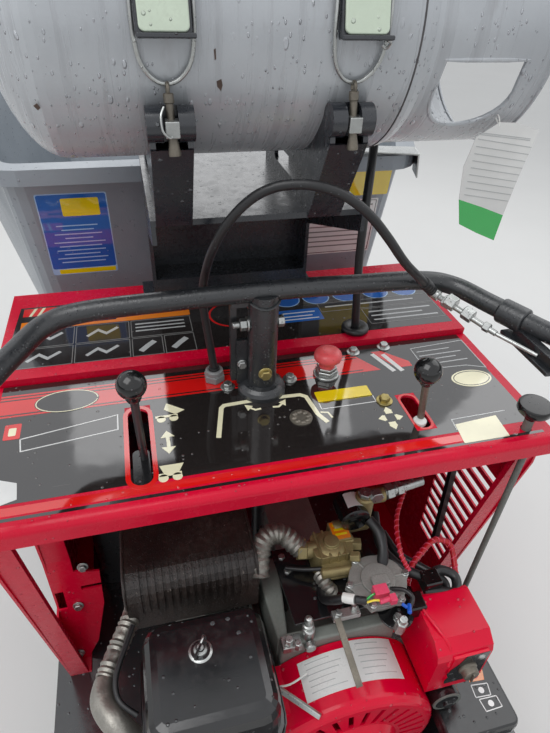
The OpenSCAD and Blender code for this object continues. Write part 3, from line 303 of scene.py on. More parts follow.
def film_look(name, colour):
    """Printed film on the console: glossy and wet, with scratches and dried splashes."""
    tree = Tree(name)
    base = tree.mix(tree.span(tree.noise(9, 4), 0.35, 0.65), shade(colour, 0.92), shade(colour, 1.1))
    cuts = tree.noise(1.0, 4, 0.6, tree.stretch((9, 260, 1)))
    cuts = tree.math("MULTIPLY", tree.span(cuts, 0.66, 0.7), tree.span(tree.noise(14, 3), 0.5, 0.6))
    base = tree.mix(tree.math("MULTIPLY", cuts, 0.125), base, srgb(170, 165, 158))
    specks = tree.drops(150, 0.1)
    base = tree.mix(tree.math("MULTIPLY", specks, 0.15), base, srgb(190, 186, 180))
    ripple = tree.bump(tree.noise(12, 2), 0.00035)
    normal = tree.bump(specks, 0.0006, ripple)
    rough = tree.span(tree.noise(30, 5), 0.3, 0.7, 0.035, 0.09)
    LOOKS[name] = tree.finish(Base_Color=base, Roughness=rough, Normal=normal, IOR=2.0)


FILMS = {
    "black": (38, 34, 33), "red": (226, 26, 24), "cream": (244, 238, 202), "white": (228, 228, 226),
    "orange": (240, 132, 22), "blue": (24, 98, 186), "yellow": (246, 216, 16), "grey": (128, 128, 126),
    "green": (18, 184, 74), "sky": (170, 204, 240), "pale": (188, 190, 190),
}
PLASTICS = {
    "wire_red": (190, 20, 32), "wire_pink": (232, 76, 110), "wire_white": (232, 232, 228),
    "wire_blue": (26, 92, 200), "grey_plastic": (132, 132, 132), "stop_red": (238, 92, 96),
}

coat("seam_dark", (74, 72, 74), 0.5, vary=0.2, patch=40, dirt=0.3)
coat("chip_brown", (84, 68, 60), 0.7, vary=0.2, patch=40, dirt=0.3)
coat("foil", (150, 147, 140), 0.36, metallic=0.75, vary=0.2, patch=40, dirt=0.6,
     dirt_colour=(84, 76, 62), grain=0.5, grain_scale=300)
coat("pale_case", (136, 140, 134), 0.5, vary=0.1, patch=20, dirt=0.5, dirt_colour=(74, 72, 64), grain=0.3)
cylinder_look()
tub_look()
for film, shown in FILMS.items():
    film_look("film_" + film, srgb(*shown))
for plain, shown in PLASTICS.items():
    coat(plain, shown, 0.3, vary=0.06, dirt=0.15, patch=30, drops=0.2, drop_scale=300)

CAD_LOOKS = {
    "red_paint": "console_panel hood_panel front_sheet side_panel_left side_panel_right",
    "red_rim": "front_rims_left front_rims_right rear_rim_left rear_rim_right",
    "frame_black": "main_frame operator_platform hydraulic_tank gas_mixer drive_axle rear_axle knuckle_left "
                   "knuckle_right tub_frame dump_barrel",
    "cradle_black": "tank_cradle",
    "deck_black": "deck",
    "bar_black": "handlebar steering_column",
    "black_plastic": "air_cleaner battery_box panel_controls",
    "heat_black": "muffler",
    "cylinder_grey": "gas_cylinder",
    "brass": "cylinder_valve",
    "zinc": "tank_straps tie_rod drag_link dump_rod",
    "cast_grey": "engine_block cylinder_head",
    "alloy": "hydraulic_pump",
    "engine_red": "fan_cover control_box",
    "rubber": "gas_hose control_cable",
    "tyre": "front_tyres_left front_tyres_right rear_tyre_left rear_tyre_right",
    "tub_charcoal": "tub",
}


def paint_cad_nodes():
    for name, nodes in CAD_LOOKS.items():
        for node in nodes.split():
            piece = frame["nodes"][node]
            for slot in piece.material_slots:
                slot.material = LOOKS[name]


paint_cad_nodes()


# Forms: each returns points and faces

def slab(low, high):
    """A box between two corners."""
    points = [(x, y, z) for z in (low[2], high[2]) for y in (low[1], high[1]) for x in (low[0], high[0])]
    faces = [(0, 2, 3, 1), (4, 5, 7, 6), (0, 1, 5, 4), (2, 6, 7, 3), (0, 4, 6, 2), (1, 3, 7, 5)]
    return points, faces


def plate(outline, base, u, v, thick):
    """A flat outline in the plane of u and v, raised by its thickness."""
    base, u, v = Vector(base), Vector(u), Vector(v)
    rise = u.cross(v).normalized() * thick
    corners = [base + u * p[0] + v * p[1] for p in outline]
    if sum(a[0] * b[1] - a[1] * b[0] for a, b in zip(outline, outline[1:] + outline[:1])) < 0:
        corners.reverse()
    n = len(corners)
    faces = [tuple(reversed(range(n))), tuple(range(n, 2 * n))]
    faces += [(i, (i + 1) % n, n + (i + 1) % n, n + i) for i in range(n)]
    return corners + [p + rise for p in corners], faces


def flat(outline, z, thick):
    """A level plate that stands on height z."""
    return plate(outline, (0, 0, z), X, Y, thick)


def upright(outline, y, thick):
    """A plate in X and Z that stands out to the near side of y."""
    return plate(outline, (0, y, 0), X, Z, thick)


def turns(n):
    """The angles of n equal steps round a full turn."""
    return [2 * pi * k / n for k in range(n)]


def frame_of(axis):
    """The axis as a unit vector, and two more square to it."""
    axis = Vector(axis).normalized()
    side = axis.cross(Z if abs(axis.z) < 0.9 else X).normalized()
    return axis, side, axis.cross(side)


def lathe(profile, base, axis=Z, n=32):
    """A profile of radius and height, turned about an axis through base."""
    axis, a, b = frame_of(axis)
    base = Vector(base)
    points = [base + axis * h + (a * cos(t) + b * sin(t)) * r
              for r, h in profile for t in turns(n)]
    faces = []
    for i in range(len(profile) - 1):
        for k in range(n):
            m = (k + 1) % n
            faces.append((i * n + k, i * n + m, i * n + n + m, i * n + n + k))
    if profile[0][0] > 0:
        faces.append(tuple(reversed(range(n))))
    if profile[-1][0] > 0:
        faces.append(tuple(range((len(profile) - 1) * n, len(profile) * n)))
    return points, faces


def rod(start, end, radius, n=20, ease=0.0):
    """A round bar between two points, with eased ends."""
    start, end = Vector(start), Vector(end)
    length = (end - start).length
    e = min(ease, radius * 0.9)
    profile = [(radius - e, 0), (radius, e), (radius, length - e), (radius - e, length)]
    return lathe(profile if e else [(radius, 0), (radius, length)], start, end - start, n)


def post(x, y, low, high, radius, n=20, ease=0.0):
    """An upright round bar."""
    return rod((x, y, low), (x, y, high), radius, n, ease)


def smooth(points, steps=6):
    """A smooth curve through the points."""
    p = [Vector(q) for q in points]
    last = len(p) - 1
    out = []
    for i in range(last):
        a, b, c, d = (p[min(max(j, 0), last)] for j in (i - 1, i, i + 1, i + 2))
        for s in range(steps):
            t = s / steps
            out.append(0.5 * (2 * b + (c - a) * t + (2 * a - 5 * b + 4 * c - d) * t * t
                              + (3 * b - a - 3 * c + d) * t ** 3))
    return out + [p[-1]]


def pipe(path, radius, n=12, closed=False):
    """A tube along a path. The radius is one number, or a function of the share of the way along."""
    path = [Vector(p) for p in path]
    count = len(path)
    width = radius if callable(radius) else (lambda share: radius)
    points, side = [], None
    for i, p in enumerate(path):
        ahead = path[(i + 1) % count] if closed or i < count - 1 else p
        behind = path[i - 1] if closed or i else p
        along = (ahead - behind).normalized()
        side = along.orthogonal() if side is None else side - along * side.dot(along)
        side.normalize()
        across = along.cross(side)
        r = width(i / (count - 1))
        points += [p + (side * cos(t) + across * sin(t)) * r for t in turns(n)]
    faces = []
    for i in range(count if closed else count - 1):
        j = (i + 1) % count
        faces += [(i * n + k, i * n + (k + 1) % n, j * n + (k + 1) % n, j * n + k) for k in range(n)]
    if not closed:
        faces += [tuple(reversed(range(n))), tuple(range((count - 1) * n, count * n))]
    return points, faces


def hose(points, radius, steps=6, n=12):
    """A tube along a smooth curve through the points."""
    return pipe(smooth(points, steps), radius, n)


def ribbed(path, radius, rise, ribs, n=20):
    """A corrugated tube."""
    return pipe(path, lambda share: radius + rise * (0.5 + 0.5 * sin(2 * pi * ribs * share)), n)


def ball(centre, radius, n=28):
    half = n // 2
    steps = [pi * k / half for k in range(half + 1)]
    return lathe([(max(radius * sin(t), 0), -radius * cos(t)) for t in steps], centre, Z, n)


def rounded(x0, y0, x1, y1, r):
    """A rectangle's outline with round corners."""
    steps = 5
    out = []
    for cx, cy, turn in ((x1 - r, y0 + r, -90), (x1 - r, y1 - r, 0), (x0 + r, y1 - r, 90),
                         (x0 + r, y0 + r, 180)):
        for k in range(steps + 1):
            t = radians(turn + 90 * k / steps)
            out.append((cx + r * cos(t), cy + r * sin(t)))
    return out


def square(x0, y0, x1, y1):
    """A rectangle's outline."""
    return [(x0, y0), (x1, y0), (x1, y1), (x0, y1)]


def circle(cx, cy, r, n=32, squeeze=1.0):
    return [(cx + r * cos(t), cy + r * squeeze * sin(t)) for t in turns(n)]


MITRE_LIMIT = 0.3


def ribbon(points, width):
    """The outline of a flat stroke of even width along points, its mitres limited at sharp turns."""
    p = [Vector((q[0], q[1])) for q in points]
    left, right = [], []
    for i, q in enumerate(p):
        along = (p[min(i + 1, len(p) - 1)] - p[max(i - 1, 0)]).normalized()
        if 0 < i < len(p) - 1:
            a, b = (q - p[i - 1]).normalized(), (p[i + 1] - q).normalized()
            reach = width / 2 / max(sqrt((1 + a.dot(b)) / 2), MITRE_LIMIT)
            along = (a + b).normalized()
        else:
            reach = width / 2
        across = Vector((-along.y, along.x)) * reach
        left.append(q + across)
        right.append(q - across)
    return [tuple(q) for q in right + left[::-1]]


def hex_head(p, axis, across=14.0, high=9.0, flange=0.0):
    """A hexagon head, with its washer face or flange under it."""
    axis = Vector(axis).normalized()
    p = Vector(p)
    r = across / 2 / cos(pi / 6)
    foot = flange or across * 0.62
    return [lathe([(foot, 0), (foot, 1.6), (across * 0.52, 2.6)], p, axis, 24),
            lathe([(r, 1.5), (r, high - 1.2), (r * 0.86, high)], p, axis, 6)]


# Points closer than this many metres are made one, and edges over this many degrees take a bevel
MERGE = 1e-6
BEVEL_FROM = 30


def world(p):
    """A point of the console's frame, in the machine's frame and in metres."""
    return (Vector(p) + ORIGIN) / 1000


def make(name, parts, look, body="chassis", bevel=0.0, segments=2, crisp=35, stands_for=""):
    """One piece from its forms, in its look, riding on a body if one is named. stands_for lists CAD nodes."""
    mesh = bpy.data.meshes.new(name)
    shape = bmesh.new()
    for points, faces in parts:
        made = [shape.verts.new(world(p)) for p in points]
        for face in faces:
            shape.faces.new([made[i] for i in face])
    bmesh.ops.remove_doubles(shape, verts=shape.verts, dist=MERGE)
    bmesh.ops.dissolve_degenerate(shape, dist=MERGE, edges=shape.edges)
    bmesh.ops.recalc_face_normals(shape, faces=shape.faces)
    shape.to_mesh(mesh)
    shape.free()
    mesh.shade_smooth()
    mesh.set_sharp_from_angle(angle=radians(crisp))
    piece = bpy.data.objects.new(name, mesh)
    bpy.context.scene.collection.objects.link(piece)
    mesh.materials.append(LOOKS[look])
    if bevel:
        round_off = piece.modifiers.new("round", "BEVEL")
        round_off.width = bevel / 1000
        round_off.segments = segments
        round_off.limit_method = "ANGLE"
        round_off.angle_limit = radians(BEVEL_FROM)
        round_off.harden_normals = True
    if body:
        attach(piece, body)
    if stands_for:
        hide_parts(*stands_for.split())
    return piece


# Prints on the console and stickers on the tub: thin plates, one piece for each colour

PRINT_STEP = 0.15


class Sheet:
    """A printed face: thin plates in each colour on the plane of u and v through base."""

    def __init__(self, name, base, u, v, body="chassis"):
        self.name, self.body = name, body
        self.base, self.u, self.v = Vector(base), u, v
        self.parts = {}

    def put(self, colour, form):
        self.parts.setdefault(colour, []).append(form)

    def fill(self, colour, outline, layer=1):
        self.put(colour, plate(outline, self.base, self.u, self.v, PRINT_STEP * layer))

    def line(self, colour, points, width, layer=3):
        self.fill(colour, ribbon(points, width), layer)

    def box(self, colour, x0, y0, x1, y1, width=2.0):
        for a, b in (((x0, y0), (x1, y0)), ((x0, y1), (x1, y1)), ((x0, y0), (x0, y1)), ((x1, y0), (x1, y1))):
            self.line(colour, [a, b], width)

    def ring(self, colour, outer, inner, layer=3):
        """A flat ring between two outlines of equally many points."""
        n = len(outer)
        up = self.u.cross(self.v) * PRINT_STEP * layer
        points = [self.base + self.u * x + self.v * y + up * k for k in (0, 1) for x, y in outer + inner]
        faces = []
        for k in range(n):
            j = (k + 1) % n
            faces += [(k, n + k, n + j, j), (2 * n + k, 2 * n + j, 3 * n + j, 3 * n + k),
                      (k, j, 2 * n + j, 2 * n + k), (n + k, 3 * n + k, 3 * n + j, n + j)]
        self.put(colour, (points, faces))

    def arrow(self, colour, tail, tip, width, head):
        tail, tip = Vector(tail), Vector(tip)
        along = (tip - tail).normalized()
        across = Vector((-along.y, along.x))
        neck = tip - along * head
        self.line(colour, [tail, neck], width)
        self.fill(colour, [tuple(p) for p in (tip, neck + across * head * 0.75,
                                              neck - across * head * 0.75)], 3)

    def lay(self):
        for colour, parts in self.parts.items():
            make(f"{self.name}_film_{colour}", parts, "film_" + colour, self.body)


def draw_buggy(sheet, x, y, tipped):
    """A small plain buggy from the side, its tub level or tipped."""
    for k in (-9, 9):
        sheet.fill("cream", circle(x + k, y - 11, 6.5, 16), 3)
    sheet.fill("cream", square(x - 17, y - 8, x + 15, y - 3), 3)
    tub = [(x - 8, y - 3), (x + 12, y - 3), (x + 19, y + 11), (x - 13, y + 11)]
    if tipped:
        turn = radians(-38)
        pivot = Vector((x + 12, y - 3))
        tub = [tuple(pivot + Matrix.Rotation(turn, 2) @ (Vector(p) - pivot)) for p in tub]
    sheet.fill("cream", tub, 3)


def print_panel():
    sheet = Sheet("panel", (0, 0, 0), X, Y)
    for x0, y0, x1, y1 in ((-386, 30, -209, 259), (-209, 180, -172, 259), (-172, 30, 200, 259),
                           (200, 30, 232, 44), (200, 126, 232, 259), (232, 30, 384, 259)):
        sheet.fill("black", square(x0, y0, x1, y1), 1)
    sheet.fill("black", square(-386, 254, 384, 263.5), 2)
    sheet.fill("red", [(-386, 12), (-386, 25), (262, 25), (262, 12)], 1)
    sheet.fill("black", [(-386, 4), (-386, 9), (384, 9), (384, 4)], 1)
    sheet.fill("red", [(-386, 192), (205, 192), (172, 242), (-386, 242)], 2)
    for y in (197, 230, 237):
        sheet.line("black", [(-386, y), (176, y)], 2.4)
    for foot, top in (((226, 184), (207, 236)), ((240, 182), (225, 232))):
        sheet.line("white", [foot, top], 8)
    sheet.fill("red", [(234, 192), (262, 192), (262, 205), (226, 242), (207, 242)], 2)
    # Blank oval badges
    sheet.fill("black", circle(-291, 214, 46, 40, 0.54), 4)
    sheet.line("cream", circle(-291, 214, 44, 40, 0.54), 1.6, 5)
    sheet.fill("cream", circle(344, 141, 35, 40, 0.6), 3)
    sheet.line("black", circle(344, 141, 31, 40, 0.57), 1.4, 4)
    # Boxes at the left
    sheet.fill("red", rounded(-372, 145, -350, 176, 2), 3)
    sheet.fill("cream", rounded(-366, 152, -356, 168, 2), 4)
    sheet.line("white", [(-349, 143), (-219, 167), (-219, 136), (-346, 119), (-349, 143)], 1.8)
    sheet.fill("white", [(-365, 72), (-344, 63), (-341, 36), (-360, 30)], 3)
    # Slots' edges
    for x0, y0, x1, y1, r, wide in ((-205, 26, -176, 174, 14, 6.5), (204, 48, 228, 122, 11.5, 4)):
        outer = rounded(x0 - wide, y0 - wide, x1 + wide, y1 + wide, r + wide)
        sheet.ring("red", outer, rounded(x0, y0, x1, y1, r), 4)
    for y0, y1 in ((96, 119), (96, 74)):
        sheet.arrow("cream", (-152, y0), (-153, y1), 5, 13)
    draw_buggy(sheet, -149, 155, True)
    draw_buggy(sheet, -155, 43, False)
    # Plan of the handlebar
    sheet.line("cream", [(-83, 90), (-69, 151), (-64, 156), (-5, 159), (55, 157), (63, 151), (69, 109),
                         (78, 89)], 7)
    sheet.fill("cream", circle(-5, 159, 9, 24), 4)
    sheet.fill("black", circle(-5, 159, 5, 24), 5)
    sheet.line("cream", [(74, 112), (85, 109), (88, 97)], 3)
    for k in (-1, 1):
        sheet.line("cream", [(k * 9 - 2, 138), (k * 18 - 2, 137), (k * 24 - 2, 142)], 3.4)
        sheet.fill("cream", [(k * 20 - 2, 146), (k * 32 - 2, 151), (k * 29 - 2, 137)], 3)
    # Yellow bar over a pale box
    sheet.fill("yellow", rounded(78, 132, 166, 158, 2), 3)
    sheet.box("white", 78, 118, 166, 133, 1.4)
    # Four arrows
    for tip, tail in (((175, 103), (175, 88)), ((171, 54), (171, 70)), ((154, 80), (166, 80)),
                      ((193, 78), (181, 78))):
        sheet.arrow("cream", tail, tip, 11, 9)
    # Empty table and the brake's blank label at the right
    sheet.line("pale", [(280, 238), (384, 245), (384, 163), (354, 175), (280, 178), (280, 238)], 1.8)
    sheet.line("pale", [(258, 34), (261, 56), (352, 58)], 1.6)
    for k, row in enumerate((190, 202, 214, 226)):
        sheet.line("pale", [(286, row), (350 if k % 2 else 366, row + 2)], 2.4)
    sheet.fill("cream", [(255, 7), (328, 7), (332, 51), (261, 45)], 4)
    sheet.lay()


def print_hood():
    sheet = Sheet("hood", (0, 0, HOOD_Z), X, Y)
    sheet.fill("black", [(-390, 292), (389, 292), (389, 482), (-382, 482)], 1)
    sheet.fill("red", square(-376, 450, -318, 477), 2)
    for x in (-360, -346):
        sheet.fill("cream", [(x - 6, 450), (x - 1, 450), (x + 7, 477), (x + 2, 477)], 3)
    sheet.fill("orange", rounded(-376, 405, -84, 431, 2), 2)
    for x0, y0, x1, y1 in ((-375, 348, -285, 403), (-283, 348, -193, 403), (-191, 348, -85, 403),
                           (-375, 292, -285, 346),
                           (-283, 292, -193, 346), (-191, 292, -139, 346), (-137, 292, -85, 346)):
        sheet.box("grey", x0 + 1, y0 + 1, x1 - 1, y1 - 1, 1.4)
    sheet.fill("red", circle(-10, 392, 42, 40), 2)
    sheet.fill("black", circle(-10, 392, 38, 40), 3)
    for x in (103, 163, 224, 287, 348):
        sheet.fill("sky", circle(x, 424, 27, 32), 2)
        sheet.fill("blue", circle(x, 424, 25, 32), 3)
    sheet.fill("blue", rounded(74, 344, 156, 385, 2), 2)
    sheet.box("grey", 158, 368, 386, 398, 1.4)
    # Pale lines stand for the words, which are left out
    for y, x0, x1 in ((384, 170, 352), (352, 246, 372), (338, 246, 350), (324, 246, 376)):
        sheet.line("pale", [(x0, y), (x1, y)], 4)
    for y, x0, x1 in ((374, 82, 146), (362, 82, 138), (352, 82, 148)):
        sheet.line("white", [(x0, y), (x1, y)], 3)
    for x, y in ((-330, 375), (-238, 375), (-330, 318), (-238, 318)):
        sheet.line("pale", [(x - 26, y - 8), (x - 8, y + 9), (x + 6, y - 4), (x + 25, y + 12)], 6)
    for y in (368, 379, 390):
        sheet.line("pale", [(-183, y), (-97, y)], 3.4)
    for x, y in ((-165, 318), (-111, 318)):
        sheet.line("pale", [(x - 12, y - 12), (x, y + 2), (x + 12, y + 14)], 10)
    sheet.line("black", [(-350, 418), (-215, 418)], 8)
    sheet.box("grey", 236, 312, 386, 364, 1.4)
    sheet.lay()


def print_tub():
    """Stickers on the tub's wall, in its own plane: X, and millimetres up from the knee."""
    sheet = Sheet("tub", (0, 672, -430), X, Vector((0, -87, 657)).normalized(), "tub")
    up = 604
    sheet.fill("sky", rounded(-335, up - 164, -208, up + 12, 4), 1)
    sheet.fill("blue", rounded(-333, up - 150, -210, up + 10, 4), 2)
    for k, half in enumerate((38, 30, 44, 26, 48, 40, 46, 34, 48, 42)):
        sheet.line("sky", [(-271 - half, up - 54 - 9 * k), (-271 + half, up - 54 - 9 * k)], 2.2)
    for k in range(9):
        sheet.line("grey", [(200, up - 46 - 12 * k), (338 - 9 * (k % 3), up - 46 - 12 * k)], 3)
    sheet.fill("yellow", rounded(-292, up - 34, -224, up + 2, 3), 3)
    sheet.fill("yellow", rounded(-322, up - 162, -212, up - 152, 2), 3)
    sheet.fill("yellow", rounded(240, up - 24, 366, up + 50, 3), 2)
    sheet.fill("white", rounded(190, up - 162, 349, up - 32, 3), 2)
    sheet.box("black", 194, up - 158, 345, up - 36, 1.6)
    sheet.lay()


print_panel()
print_hood()
print_tub()


# Steering: bar, lever bracket, column's bolts and the cable

CABLE_FOOT, HOSE_FOOT = (-68, 222), (198, 299)
STOP, BRAKE, PLUG = (111, 198), (361, 16), (42, 106)
COLUMN_R, COLUMN_BOLT_Z = 21, 122
BAR_HALF = [(0, 0, 173), (120, 0, 171), (235, 0, 167), (285, -14, 161), (318, -62, 155), (350, -130, 153),
            (380, -220, 159), (392, -330, 165)]
CABLE_ROUTE = [(*CABLE_FOOT, 22.5), (-71, 224, 52), (-80, 224, 145), (-74, 204, 209), (-61, 175, 262),
               (-45, 163, 292), (-27, 155, 313), (-9, 148, 326), (12, 142, 333), (44, 133, 334),
               (79, 125, 323), (111, 120, 300), (140, 120, 269), (172, 125, 231), (208, 140, 197),
               (246, 164.3, 160.2)]
HOSE_ROUTE = [(*HOSE_FOOT, 14), (194, 300, 70), (191, 307, 150), (196, 321, 220), (210, 352, 290),
              (232, 405, 355), (252, 462, 405), (262, 502, 445), (262, 505, 478), (262, 480, 488),
              (262, 440, 485), (262, 382.5, 484)]


def free_cord(name, route, radius, body, node):
    """A cord that leaves the console and goes back into the machine. With no body it is left unattached."""
    path = smooth(route, 6)
    piece = make(name, [pipe(path, radius, 20)], "rubber", body, stands_for=node)
    return piece


def build_steering():
    half = [Vector((x, COLUMN_Y + y, z)) for x, y, z in BAR_HALF]
    mirrored = [Vector((-p.x, p.y, p.z)) for p in half[:0:-1]]
    bracket = [rod((326, 106, 154), (343, 70, 153), 18, 32, 2), slab((322, -15, 126), (352, 89, 132)),
               slab((330, -11, 122), (344, 75, 146))]
    make("bar", [pipe(smooth(mirrored + half, 8), 14, 28)] + bracket, "bar_black", "steering", 1.5,
         stands_for="handlebar")
    make("weld_at_bar", [pipe([(22.5 * cos(t), COLUMN_Y + 22.5 * sin(t), 159 + 3 * cos(2 * t))
                               for t in turns(36)], 2.4, 8, closed=True)],
         "bar_black", "steering")
    # Cable's adjuster: rod, coupling nuts and thin end
    adjuster = [rod((252, 166, 154), (300, 69, 140), 4.2, 16), rod((300, 69, 140), (330, 17, 136), 3, 12),
                rod((249, 170, 156), (257, 157, 153), 8, 24, 1),
                rod((260, 149, 152), (266, 137, 150), 9, 6, 1),
                rod((262, 145, 155), (270, 131, 152), 11, 6, 1),
                rod((276, 119, 149), (284, 105, 146), 10, 6, 1),
                rod((291, 88, 143), (296, 79, 142), 7, 6, 1)]
    make("cable_adjuster", adjuster, "zinc", "steering", 0.6)
    boot = smooth([(222, 149, 184), (236, 158, 171), (250, 168, 157)], 8)
    make("cable_boot", [ribbed(boot, 7.2, 1.6, 5)], "rubber", "steering")
    # Bolts of the column
    bolts = [rod((x0, COLUMN_Y, COLUMN_BOLT_Z), (x1, COLUMN_Y, COLUMN_BOLT_Z), r, n, ease)
             for x0, x1, r, n, ease in ((-COLUMN_R, -24, 11, 24, 0), (-24, -34, 9.5, 6, 1),
                                        (-34, -44.5, 4.8, 16, 1), (COLUMN_R, 31, 9, 6, 1))]
    bolts += hex_head((-30, COLUMN_Y + 4, 50), -Y, 12, 7)
    make("column_bolts", bolts, "zinc", "steering", 0.5)
    make("column_front_bolt", hex_head((0, COLUMN_Y - COLUMN_R - 0.5, 46), -Y, 15, 9, 10.5), "yellow_zinc",
         "steering", 0.8)


# Small things on the panel

def build_controls():
    stem_left, stem_right = ((-186, 88, -62), (-186, 43, 150)), ((232, 85, -62), (193, 46, 110))
    for side, (foot, top), look, r in (("left", stem_left, "frame_black", 17.5),
                                       ("right", stem_right, "dull_steel", 19)):
        along = (Vector(top) - Vector(foot)).normalized()
        neck = Vector(top) - along * (r + 9)
        make(f"lever_{side}", [rod(foot, top, 5.2, 20)], look, stands_for="panel_controls")
        knob = [ball(top, r, 36), lathe([(6, 0), (8.5, 1), (9.5, 4), (8.5, 12)], neck, along, 28)]
        make(f"knob_{side}", knob, "knob_black")
        foot = Vector(foot)
        guide = [rod(foot - 20 * X, foot + 20 * X, 14, 24, 1),
                 slab(foot + Vector((17, -36, -18)), foot + Vector((25, 28, 58)))]
        make(f"guide_{side}", guide, "black_plastic", bevel=1)
    make("slider_left", [flat(rounded(-202, 28, -178, 92, 8), -7, 5)], "black_plastic", bevel=1)
    make("collar_right", [lathe([(7, 0), (10, 1), (10, 6), (7, 8)], (215, 66, -7), Z, 24)], "wire_white")
    # Parking brake: knob over a coned neck, stem and rod
    x, y = BRAKE
    knob = [(8, 20), (9, 24), (15, 33), (22, 34), (24, 37), (24, 45), (22.5, 47.5), (18, 48), (0, 48)]
    make("brake_knob", [lathe(knob, (x, y, 0), Z, 40)], "knob_black", crisp=50)
    make("brake_rod", [post(x, y, -34, 30, 7, 20), rod((x, y, -28), (x - 2, -2, -28), 5, 16),
                       rod((x - 2, -2, -24), (x - 3, -2, DECK_Z + 0.5), 5, 20)], "cast_grey")
    # Cable's gland and hose's grommet
    foot = (*CABLE_FOOT, 0)
    gland = [post(*CABLE_FOOT, 0, 13, 17, 6, 1.5),
             lathe([(14, 12), (14, 19), (12, 21), (8.6, 21), (8.6, 16)], foot)]
    make("gland", gland, "grey_plastic", bevel=0.8)
    bush = [(6.1, 14), (8.4, 14), (8.4, 22), (7.6, 24.5), (6.1, 25)]
    make("gland_bush", [lathe(bush, foot, Z, 28)], "rubber")
    grommet = [(8.4, 11), (22, 11.1), (24, 13), (24.5, 16), (23, 20), (18, 22), (12, 20), (8.4, 18)]
    make("grommet", [lathe(grommet, (*HOSE_FOOT, 0), Z, 40)], "rubber", crisp=60)
    # Stop button: two nuts, neck and dome
    nuts = [post(*STOP, z0, z1, r, n, ease)
            for z0, z1, r, n, ease in ((0, 5, 21, 24, 1), (5, 13, 18.5, 6, 1.2), (14, 19, 17, 6, 1))]
    make("stop_nuts", nuts, "zinc", bevel=0.5)
    dome = [(13, 18), (13, 30), (19, 31), (22, 34), (22.5, 38), (21.5, 43), (18, 47), (11, 49), (0, 49.6)]
    make("stop_button", [lathe(dome, (*STOP, 0), Z, 48)], "stop_red", crisp=60)
    # Flanged bolts and the worn plug
    bolts = []
    for x, y in ((-51, 198), (50, 198), (177, 248), (235, 252)):
        bolts += hex_head((x, y, 0.3), Z, 13, 9, 11.5)
    make("panel_bolts", bolts, "zinc", bevel=0.6)
    make("panel_bolt_right", hex_head((179, 117, 0.3), Z, 15, 9, 13), "yellow_zinc", bevel=0.7)
    petals = [lathe([(17, 0), (17, 1.2), (13, 2.2), (0, 2.6)], (*PLUG, 0.3))]
    petals += [lathe([(4.5, 0), (4.2, 2.2), (2, 3.6), (0, 3.8)],
                     (PLUG[0] + 11 * cos(t), PLUG[1] + 11 * sin(t), 0.6), Z, 12)
               for t in turns(8)]
    make("panel_plug", petals, "dull_steel")


# Gas cylinder: seam, collar's rims, latches, bails and their bolts

CAN_Y, CAN_Z, CAN_R = 312, 484, 155
SEAM_X, COLLAR_END, COLLAR_R, HOLE_X = 159, 337.5, 147, 195
LATCHES = (-112, 88)
STRAP_R, PAD_OUT, PAD_HALF = 156.9, 166.8, 23.5
LATCH_TILT = radians(14)


def on_can(x, up, r=CAN_R):
    """A point by the cylinder's near side: along it, degrees up its side, distance from its axis."""
    t = radians(up)
    return Vector((x, CAN_Y - r * cos(t), CAN_Z + r * sin(t)))


def ring_on_can(x, radius, thick):
    return pipe([on_can(x, up, radius) for up in range(0, 360, 5)], thick, 10, closed=True)


def patch_on_can(outline):
    """A thin patch on the cylinder, its outline given as distance along and degrees up."""
    n = len(outline)
    points = [on_can(x, up, CAN_R + rise) for rise in (-0.3, 0.25) for x, up in outline]
    sides = [(i, (i + 1) % n, n + (i + 1) % n, n + i) for i in range(n)]
    return points, [tuple(range(n)), tuple(range(n, 2 * n))] + sides


def latch_point(x, out, up):
    """A point of a latch: across, distance from the cylinder's axis plane, height along its tilted plate."""
    c, s = cos(LATCH_TILT), sin(LATCH_TILT)
    return Vector((x, CAN_Y - out * c + up * s, CAN_Z + out * s + up * c))


def latch_box(x0, x1, out0, out1, up0, up1):
    points, faces = slab((0, 0, 0), (1, 1, 1))
    return [latch_point(x0 + (x1 - x0) * a, out0 + (out1 - out0) * b, up0 + (up1 - up0) * c)
            for a, b, c in points], faces


